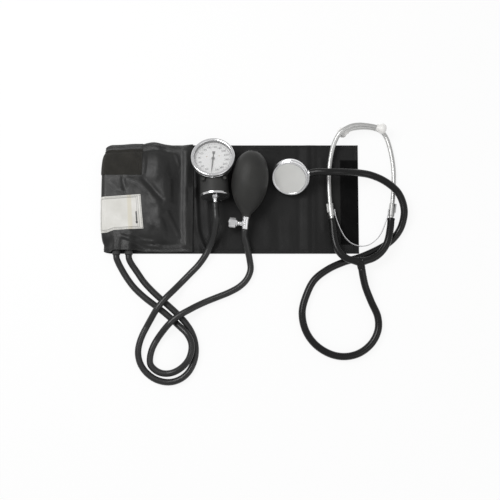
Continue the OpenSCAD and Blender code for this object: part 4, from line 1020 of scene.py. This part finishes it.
stitches = stitchRow("cuffStitches", stitchPaths(stitch), stitch)
patchStitches = stitchRow("patchStitches", patchStitchPaths(), fineStitch)
hookRoute = [(0, y, z * hook["tall"]) for y, z in ((0, 0), (0, 0.55), (0.12, 0.85), (0.34, 0.95), (0.5, 0.78))]
oneHook, _, _ = tubePiece("oneHook", hookRoute, 0.11, "hook", sides=4, step=0.3, dome=0.03)
fieldX, fieldY = hook["length"] - 4.5, hook["width"] - 5
hooks = grow("hookBristles", emptyCarrier(), "hook",
             {"Size X": fieldX * mm, "Size Y": fieldY * mm, "Rows X": round(fieldX / hook["pitch"]),
              "Rows Y": round(fieldY / hook["pitch"]), "Hook": oneHook, "Seed": hook["seed"],
              "Material": finishes["hook"]},
             Matrix.Translation(Vector((tailX - hook["length"] / 2 - 0.5, hook["shift"],
                                        seamT + hook["gap"] + 0.5 * hook["thick"])) * mm))
bpy.data.objects.remove(oneHook)
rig.slot(hooks, "hook_tape")
for piece in (stitches, patchStitches, hooks):
    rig.ride(piece, "cuff_set")
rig.sheet(shell, flat=(0.143, 0.474), held="folded", rests_on=["cuffLining"])
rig.sheet(lining, flat=(0.143, 0.452), held="folded", rests_on=["cuffShell"])
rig.sheet(loopTape, flat=(0.0344, 0.060), held="laid", rests_on=["cuffShell"])
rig.sheet(labelSheet, flat=(0.047, 0.063), held="laid", rests_on=["cuffShell"])
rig.sheet(hookTape, flat=(0.023, 0.111), held="laid", rests_on=["cuffLining"], with_pieces=[hooks])
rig.padded(bladder, fill=0.2)
print("stitches and hooks made")

# Hoses: the routes are the CAD's, in millimetres
neckX = [foldX + n for n in cuff["necks"]]
neckZ = lowerT(neckX[0], -0.88) + cuff["neckRoom"] / 2 + cuff["gap"]
neckY = -cuff["width"] / 2
onCuff = seamT + 0.3
slant = math.radians(8)
gauge = {"at": (-18.6, -1, onCuff + 44 * math.sin(slant) + 18 * math.cos(slant)), "rise": 8, "yaw": 3,
         "dialY": 48, "dialZ": 19.5, "lean": 12, "nipple": 8}
bulb = {"over": (25.8, 20.2), "pitch": 8, "yaw": -6, "radius": 23.5, "length": 84, "tip": 0.443, "neckRadius": 5.6,
        "mouth": 6.6, "spigot": 3.8}
bulbTip = bulb["tip"] * bulb["length"]
bulbNeck = bulbTip - bulb["length"]


def bulbOut(c, f):
    if f > 0:
        return c["radius"] * math.sqrt(1 - f ** 2.3 * (1 - (c["mouth"] / c["radius"]) ** 2)), f * bulbTip
    body = max(0, 1 - (f / 0.94) ** 2) ** 0.75
    flare = c["neckRadius"] / c["radius"] * math.sqrt(ease(-1.3 * f))
    return c["radius"] * math.hypot(body, flare), -f * bulbNeck


bulbLow = max(r * math.cos(slant) - z * math.sin(slant) for r, z in (bulbOut(bulb, k / 15 - 1) for k in range(31)))
inGauge = Matrix.Translation(gauge["at"]) @ turned("Z", gauge["yaw"]) @ turned("X", -gauge["rise"])
inDial = inGauge @ Matrix.Translation((0, gauge["dialY"], gauge["dialZ"])) @ turned("X", -gauge["lean"])
inBulb = Matrix.Translation((*bulb["over"], onCuff + bulbLow)) @ turned("Z", bulb["yaw"]) \
    @ turned("X", bulb["pitch"] - 90)
gaugeExit = inGauge @ Vector((0, -gauge["nipple"], 0))
bulbExit = inBulb @ Vector((0, 0, bulbNeck - 16.2))
hoses = {"radius": 4.2, "tubeRadius": 4.7}


def neckEnd(x, out):
    return [(x + out, neckY - 10.6, 6.7), (x + 0.3 * out, neckY - 7.2, 7.8), (x, neckY - 4.4, neckZ),
            (x, neckY - 2.1, neckZ)]


def laid(radius, points):
    return [p if len(p) == 3 else (*p, radius + 0.1) for p in points]


gaugeRoute = [tuple(gaugeExit), tuple(inGauge @ Vector((0, -gauge["nipple"] - 9, 0)))] + laid(hoses["radius"], [
    (-17, -30, 29), (-18.5, -41, 22), (-21.5, -52, 14.4), (-26, -63, 9.2), (-32.4, -75.5, 6.9), (-41.2, -87.2, 4.4),
    (-52.1, -98.5), (-63.4, -110.3, 5.8), (-72.1, -119.6, 9.8), (-80.4, -128.1, 13), (-87.6, -136.2, 13.2),
    (-94, -145.1, 12.8), (-100.1, -155, 8.3), (-106, -165, 4.5), (-111.8, -176.5), (-116, -188.8), (-117.1, -200.8),
    (-114, -213.2), (-106.2, -224.4), (-93.8, -233.1), (-78.9, -236.5), (-64.6, -233.4), (-53.2, -224.6),
    (-46, -211.4), (-43.5, -197.8), (-44.8, -184.7), (-49.4, -172.2), (-56.7, -161.2), (-65.7, -151.2),
    (-76.8, -140.9), (-88, -131.1), (-99.6, -120.5), (-110.9, -108.4), (-119.9, -95.6, 4.4),
    (-125.9, -87, 5.1)]) + neckEnd(neckX[1], 1.8)
bulbRoute = [tuple(bulbExit), tuple(inBulb @ Vector((0, 0, bulbNeck - 24)))] + laid(hoses["radius"], [
    (21, -58.5, 13), (23, -67.5, 9.3), (25.6, -80, 5), (26.7, -92.7), (21.8, -105), (12.1, -114.7), (-1.1, -122),
    (-16, -128), (-30.7, -133.9, 4.8), (-43, -139.8, 7.8), (-53.1, -145.4, 11.8), (-62.2, -150.5, 13.1),
    (-70.8, -156.5, 13.2), (-78.7, -164.2, 12.5), (-86, -172.6, 7.8), (-92.9, -182, 4.5), (-98.5, -192.4),
    (-101.6, -203.4), (-101.3, -213.7), (-95.2, -220.9), (-87, -224.9), (-77.6, -225.4, 4.5), (-68.4, -222.6, 6.2),
    (-59.2, -216.4, 9), (-51.9, -207.4, 11.8), (-48.4, -196.2, 12.3), (-49, -185.4, 12.1), (-54.5, -174.9, 11.5),
    (-63.2, -166.6, 7.5), (-69.4, -161, 4.4), (-74.4, -156.3), (-85.4, -147), (-97.5, -137.8), (-110.5, -127.8),
    (-123.3, -115.8), (-133.6, -102.2, 4.4), (-141.6, -88.6, 5.2)]) + neckEnd(neckX[0], 1.9)


def barbSwell(s, length):
    return 0.25 * bell(s - 2.5, 1.4) - 0.35 * bell(s - 6.5, 2.2) + 0.15 * bell(s - 10.5, 1.6)


def cordPiece(name, node, route, radius, finish, body, **shape):
    piece, path, length = tubePiece(name, route, radius, finish, **shape)
    assign(piece, node, "hose_rubber", body)
    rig.cord(piece, exit=path[0], length=round(length, 3), diameter=2 * radius * mm, far_end="object",
            stiffness="medium", lay="loose", path=path)
    print(name, "length", round(length, 3))


cordPiece("gaugeHose", "gauge_hose", gaugeRoute, hoses["radius"], "hose", "cuff_set", swell=barbSwell)
cordPiece("bulbHose", "bulb_hose", bulbRoute, hoses["radius"], "hose", "cuff_set", swell=barbSwell)

# Stethoscope
chest = {"normal": (-0.21, -0.58, 0.79), "stem": (0.93, 0.1, 0.35), "radius": 23.5, "depth": 9.1, "at": (77, 22.7)}
chestN = Vector(chest["normal"]).normalized()
chestS = (Vector(chest["stem"]) - Vector(chest["stem"]).dot(chestN) * chestN).normalized()
chestT = chestN.cross(chestS)
flangeR = chest["radius"] + 1.1
chestAt = Vector((*chest["at"], onCuff + chestN.z * chest["depth"] + flangeR * math.sqrt(1 - chestN.z ** 2)))
inChest = Matrix(((chestS.x, chestT.x, chestN.x, chestAt.x), (chestS.y, chestT.y, chestN.y, chestAt.y),
                  (chestS.z, chestT.z, chestN.z, chestAt.z), (0, 0, 0, 1)))
stemZ = -chest["depth"] + 2.4
stemOut = [tuple(chestAt + x * chestS + stemZ * chestN) for x in (flangeR + 1.7, flangeR + 11.6)]
yoke = {"at": (167, -83, 15), "tubeEnd": (169, -92, 14.4), "radius": 6.0, "half": 5.2}
tubeLead = tuple(1.25 * a - 0.25 * b for a, b in zip(yoke["tubeEnd"], yoke["at"]))
tubeRoute = stemOut + laid(hoses["tubeRadius"], [
    (124, 30, 33.5), (136, 30.1, 33), (147, 30.8, 29), (157, 31.4, 23.4), (168, 31.6, 17.5), (181, 30.2, 13.4),
    (195, 25, 12.6), (207, 17.5, 12.5), (217, 8, 12.3), (223, -4, 12), (225.5, -17, 11.2), (224, -30, 8.6),
    (219.5, -42, 5.6), (211, -53, 4.9), (200, -61.5), (186, -69), (167, -77), (146.5, -83), (126, -92.5),
    (108.5, -106.5), (98, -127), (93, -148), (97, -170), (109, -188), (127, -200), (146, -204), (165, -200),
    (181, -188), (190, -171), (190, -153), (182, -134, 5), (174.8, -116, 7.4),
    (171, -102, 12)]) + [tubeLead, yoke["tubeEnd"]]
cordPiece("listeningTube", "listening_tube", tubeRoute, hoses["tubeRadius"], "tubing", "stethoscope", sides=32,
          swell=lambda s, n: 0.25 * bell(s - 4, 3))

r, f, h = chest["radius"], flangeR, chest["depth"]
chestParts = [
    ("chestBody", "chestpiece_body", "chrome", "chrome_plate", [
        (0, -6), (3, -6), (r - 4, -2.8), (r - 3.4, -1.6), (r - 1.5, -1.6), (r - 1.5, -4.5), (f - 0.8, -4.5),
        (f - 0.2, -4.8), (f, -5.4), (f, -h + 0.9), (f - 0.3, -h + 0.25), (f - 0.9, -h), (0.8 * r, -h - 0.25),
        (0.62 * r, -h - 0.8), (0.5 * r, -h - 1.6), (0.42 * r, -h - 2.6), (0.36 * r, -h - 3), (0, -h - 3)]),
    ("diaphragmDisc", "diaphragm", "film", "diaphragm_film", [
        (0, -1.5), (r - 1.7, -1.5), (r - 1.7, -0.9), (r - 4, -0.86), (0, -0.84)]),
    ("diaphragmRing", "diaphragm_ring", "chrome", "chrome_plate", [
        (r - 1.45, -4.4), (r, -4.4), (r, -0.9), (r - 0.12, -0.5), (r - 0.3, -0.25), (r - 0.6, -0.06), (r - 0.9, 0),
        (r - 1.7, -0.06), (r - 2.4, -0.2), (r - 2.75, -0.45), (r - 2.9, -0.8), (r - 1.45, -0.8), (r - 1.45, -4.4)]),
]
for name, node, finish, slotName, profile in chestParts:
    assign(lathePiece(name, profile, inChest, finish, segments=128, sharp=50), node, slotName, "stethoscope")
print("chestpiece made")

armLeft = [(165, -82.9, 15), (159.7, -81.7, 15), (151, -79.5, 15), (143.5, -74, 14.6), (138, -66, 13.6),
           (134.8, -55, 12), (133.4, -43, 10.2), (133, -34, 9), (132.2, -27, 8.2)]
armRight = [(169, -82.9, 15), (174.3, -81.7, 15), (184, -78.5, 15), (193, -72, 15), (200, -63, 15), (204, -53, 14.4),
            (206.6, -41, 12), (207.8, -34, 10.2), (208.6, -27, 8.6)]
earLeft = [(132.8, -34, 8.9), (132.2, -27, 8.2), (130.4, -12, 7.2), (129, 10, 6.6), (129, 33, 7), (131, 53, 9),
           (135, 70, 13), (142.5, 84, 17.7), (155, 92.5, 18.3), (167.5, 95, 18), (180, 94, 17.8), (188, 92.5, 17.6),
           (195, 90.6, 17.5)]
earRight = [(207.8, -34, 10.2), (208.6, -27, 8.6), (210.7, -11, 5.6), (213, 9, 3.7), (214, 30, 3.3), (213, 47, 3.3),
            (210, 65, 3.3), (205.5, 80, 3.3), (199, 89.5, 3.3), (188, 94, 3.6), (174, 95, 4.4), (160, 93, 5.8),
            (149.5, 88.5, 7.1)]
earRadius = 3


def armSwell(s, length):
    return 0.5 * bell(s - length, 1.2) + 0.8 * ease((9 - s) / 9)


tipProfile = [(3.15, 0.6), (3.15, 0), (4.1, 0), (4.3, 0.6), (4.3, 2), (4.5, 3.4), (5.2, 4.6), (6.2, 5.6), (6.7, 6.8),
              (6.75, 8), (6.5, 9.5), (5.8, 11), (4.6, 12.3), (3.2, 13), (2.2, 13.3), (1.7, 13.1), (1.3, 12.4),
              (1.2, 11)]
for side, armPath, earPath in (("left", armLeft, earLeft), ("right", armRight, earRight)):
    body = side + "_ear"
    arm, _, _ = tubePiece("yokeArm_" + side, armPath, hoses["tubeRadius"], "tubing", sides=32, swell=armSwell)
    assign(arm, "yoke_" + side + "_arm", "hose_rubber", body)
    metal, _, _ = tubePiece("earTube_" + side, earPath, earRadius, "tubeMetal", sides=36, step=1.6)
    assign(metal, "ear_tube_" + side, "chrome_plate", body)
    out = (Vector(earPath[-1]) - Vector(earPath[-2])).normalized()
    place = Matrix.Translation(earPath[-1]) @ out.to_track_quat("Z", "Y").to_matrix().to_4x4() \
        @ Matrix.Translation((0, 0, -5))
    tip = lathePiece("earTip_" + side, tipProfile, place, "earTip", segments=64, sharp=60)
    assign(tip, "ear_tip_" + side, "ear_tip_soft", body)


def yokeMoulding(c):
    hub = [(c["radius"] * r, c["half"] * z) for r, z in ((0, -1), (0.6, -0.92), (0.9, -0.6), (1, 0), (0.9, 0.6),
                                                         (0.6, 0.92), (0, 1))]
    body = lathePiece("yokeHub", hub, Matrix.Translation(c["at"]), "tubing", segments=48, sharp=80)
    start, end = Vector(c["at"]), Vector(c["tubeEnd"])
    spout, _, _ = tubePiece("yokeSpout", [tuple(start), tuple(start.lerp(end, 0.5)), tuple(end)], 5.1, "tubing",
                            sides=32, step=1, dome=0.4)
    joinAll([body, spout], "yokeMoulding")
    remesh = body.modifiers.new("remesh", "REMESH")
    remesh.mode, remesh.voxel_size, remesh.use_smooth_shade = "VOXEL", 0.45 * mm, True
    soften = body.modifiers.new("soften", "SMOOTH")
    soften.factor, soften.iterations = 0.6, 12
    made = finalMesh(body)
    body.modifiers.clear()
    body.data = made
    return body


assign(yokeMoulding(yoke), "yoke", "hose_rubber", "stethoscope")

leaf = {"thick": 1, "wide": 7, "middle": 8.2, "beside": 4.55, "left": ((131.72, -23), (130.05, -7)),
        "right": ((209.1, -23), (211.2, -7)), "bow": [
            (137.75, -27.3), (139.3, -31.8), (141.3, -37), (144.2, -43.5), (149, -51.5), (157, -59), (168, -62.5),
            (179, -61), (188.6, -54.5), (195, -46.5), (199, -38), (201.4, -31.5), (203, -27)]}


def besideSleeve(ends, f, offset):
    d = Vector(ends[1]) - Vector(ends[0])
    p = Vector(ends[0]) + f * d
    d.normalize()
    return p.x + offset * d.y, p.y - offset * d.x


def leafHalves(c):
    path = [besideSleeve(c["left"], f, c["beside"]) for f in (0.5, 0.3, 0.06)] + c["bow"] \
        + [besideSleeve(c["right"], f, -c["beside"]) for f in (0.06, 0.3, 0.5)]
    route, _ = evenRoute([(x, y, c["middle"]) for x, y in path], 1.5)
    h, w = c["thick"] / 2, c["wide"] / 2
    section = [(h * 0.4, w), (h, w - 0.3), (h, -w + 0.3), (h * 0.4, -w), (-h * 0.4, -w), (-h, -w + 0.3), (-h, w - 0.3),
               (-h * 0.4, w)]
    rings, last = [], len(route) - 1
    for i, p in enumerate(route):
        d = (route[min(i + 1, last)] - route[max(i - 1, 0)]).normalized()
        sideways = Vector((-d.y, d.x, 0))
        rings.append([p + sideways * a + Vector((0, 0, b)) for a, b in section])
    n, middle = len(section), min(range(last + 1), key=lambda i: route[i].y)
    for name, part in (("Left", rings[:middle + 1]), ("Right", rings[middle:])):
        end = (len(part) - 1) * n
        faces = gridFaces(len(part), n, closed=True) + [tuple(range(n)), tuple(range(end + n - 1, end - 1, -1))]
        yield meshPiece("leafSpring" + name, [q for ring in part for q in ring], faces, "steel", 40), route[middle]


# Each half of the spring bends from its sleeve, which swings with the ear tube, to its middle, which stays
for (spring, middle), side, held in zip(leafHalves(leaf), ("left_ear", "right_ear"), (leaf["bow"][0], leaf["bow"][-1])):
    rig.replaces(spring, "leaf_spring")
    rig.slot(spring, "spring_steel")
    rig.blend(spring, side, "stethoscope", start=tuple(Vector((*held, leaf["middle"])) * mm), end=tuple(middle * mm))
print("stethoscope made")


# Bulb
def bulbProfile(c):
    lip = c["neckRadius"]
    start = [(c["spigot"] + 0.15, bulbNeck + 1.5), (c["spigot"] + 0.15, bulbNeck + 0.3), (lip - 0.5, bulbNeck + 0.05),
             (lip + 0.15, bulbNeck + 0.5)]
    end = [(c["mouth"] - 0.2, bulbTip + 0.1), (5.6, bulbTip + 0.15), (5.05, bulbTip - 0.3), (5.05, bulbTip - 4)]
    return start + [bulbOut(c, k / 32 - 1) for k in range(1, 64)] + end


def mouldLine(r, z, a):
    off = min(abs(a - math.pi * k) for k in (0.5, 1.5))
    return 0.1 * bell(off, 0.03) if r > 6 else 0


bulbSkin = lathePiece("bulbSkin", bulbProfile(bulb), inBulb, "bulb", segments=160, ripple=mouldLine, sharp=50)
assign(bulbSkin, "inflation_bulb", "bulb_rubber")
print("bulb made")

# Gauge bezel, turned to the CAD's profile
bezelRoll = [(26.5 + 1.5 * math.cos(math.radians(a)), -1.5 + 1.5 * math.sin(math.radians(a))) for a in range(0, 91, 10)]
bezelProfile = [(26.1, -7), (27.6, -7), (28, -6.6), (28, -4.6), (27.75, -4.3), (27.75, -4), (28, -3.7)] + bezelRoll + [
    (24.9, -0.15), (24.4, -0.55), (24.15, -1), (24.1, -1.3), (25.2, -1.3), (25.2, -2.95), (26.1, -2.95), (26.1, -7)]
assign(lathePiece("bezelRing", bezelProfile, inDial, "chrome", segments=128, sharp=50), "gauge_bezel", "chrome_plate")

# Dial: scale marks and plain numbers
dial = {"height": -5.95, "radius": 22.6, "zero": -172.5, "turn": 337.5, "full": 300, "numberRadius": 17.3,
        "numberSize": 3.9}


def dialMarks(c):
    made = []
    toMetres = Matrix.Scale(mm, 4) @ inDial @ Matrix.Scale(1 / mm, 4)
    for every, length, width in ((2, 0.9, 0.12), (10, 1.6, 0.2), (20, 2.3, 0.3)):
        count = c["full"] // every + 1
        made.append(grow("marks%d" % every, emptyCarrier(), "mark",
            {"Count": count, "Start": math.radians(c["zero"]), "Step": math.radians(c["turn"] / (count - 1)),
             "Radius": (c["radius"] - length / 2) * mm, "Size": (width * mm, length * mm, 0.06 * mm),
             "Material": finishes["ink"]}, toMetres @ Matrix.Translation((0, 0, c["height"] * mm))))
    for value in range(20, c["full"] + 1, 20):
        words = bpy.data.curves.new("number", "FONT")
        words.body, words.size, words.extrude = str(value), c["numberSize"] * mm, 0.03 * mm
        words.align_x, words.align_y = "CENTER", "CENTER"
        text = addObject("number%d" % value, words)
        mesh = finalMesh(text)
        bpy.data.objects.remove(text)
        a = math.radians(c["zero"] + c["turn"] * value / c["full"])
        mesh.transform(toMetres @ Matrix.Translation(Vector((c["numberRadius"] * math.sin(a),
            c["numberRadius"] * math.cos(a), c["height"])) * mm))
        mesh.materials.clear()
        mesh.materials.append(finishes["ink"])
        made.append(addObject("number%d" % value, mesh))
    return joinAll(made, "dialPrint")


dialPrint = dialMarks(dial)
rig.slot(dialPrint, "dial_white")
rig.ride(dialPrint, "cuff_set")
print("dial made")

# Finishes of the CAD nodes that stay
for finish, names in {
        "chrome": ("gauge_base_plate", "gauge_nipple", "release_valve_body", "release_screw", "chestpiece_stem"),
        "tubeMetal": ("spring_sleeve_left", "spring_sleeve_right"),
        "blackened": ("gauge_screws",),
        "case": ("gauge_case",),
        "blackPlastic": ("inlet_valve_body",),
        "crystal": ("gauge_crystal",),
        "dial": ("dial_plate",),
        "ink": ("pointer",),
        "brass": ("pointer_pinion", "sector_gear", "movement_frame"),
        "bronze": ("aneroid_capsule",),
        "steel": ("hairspring", "push_rod", "gauge_clip", "inlet_valve_ball", "outlet_valve_ball"),
        "hose": ("release_seal",),
        "bladder": ("hose_necks",)}.items():
    for name in names:
        nodes[name].data.materials.clear()
        nodes[name].data.materials.append(finishes[finish])

bpy.context.view_layer.update()
with open("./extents.json", "w") as out:
    json.dump({"cad": cadBox, "visual": [list(c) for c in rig.bounds()]}, out)
print("scene finished")
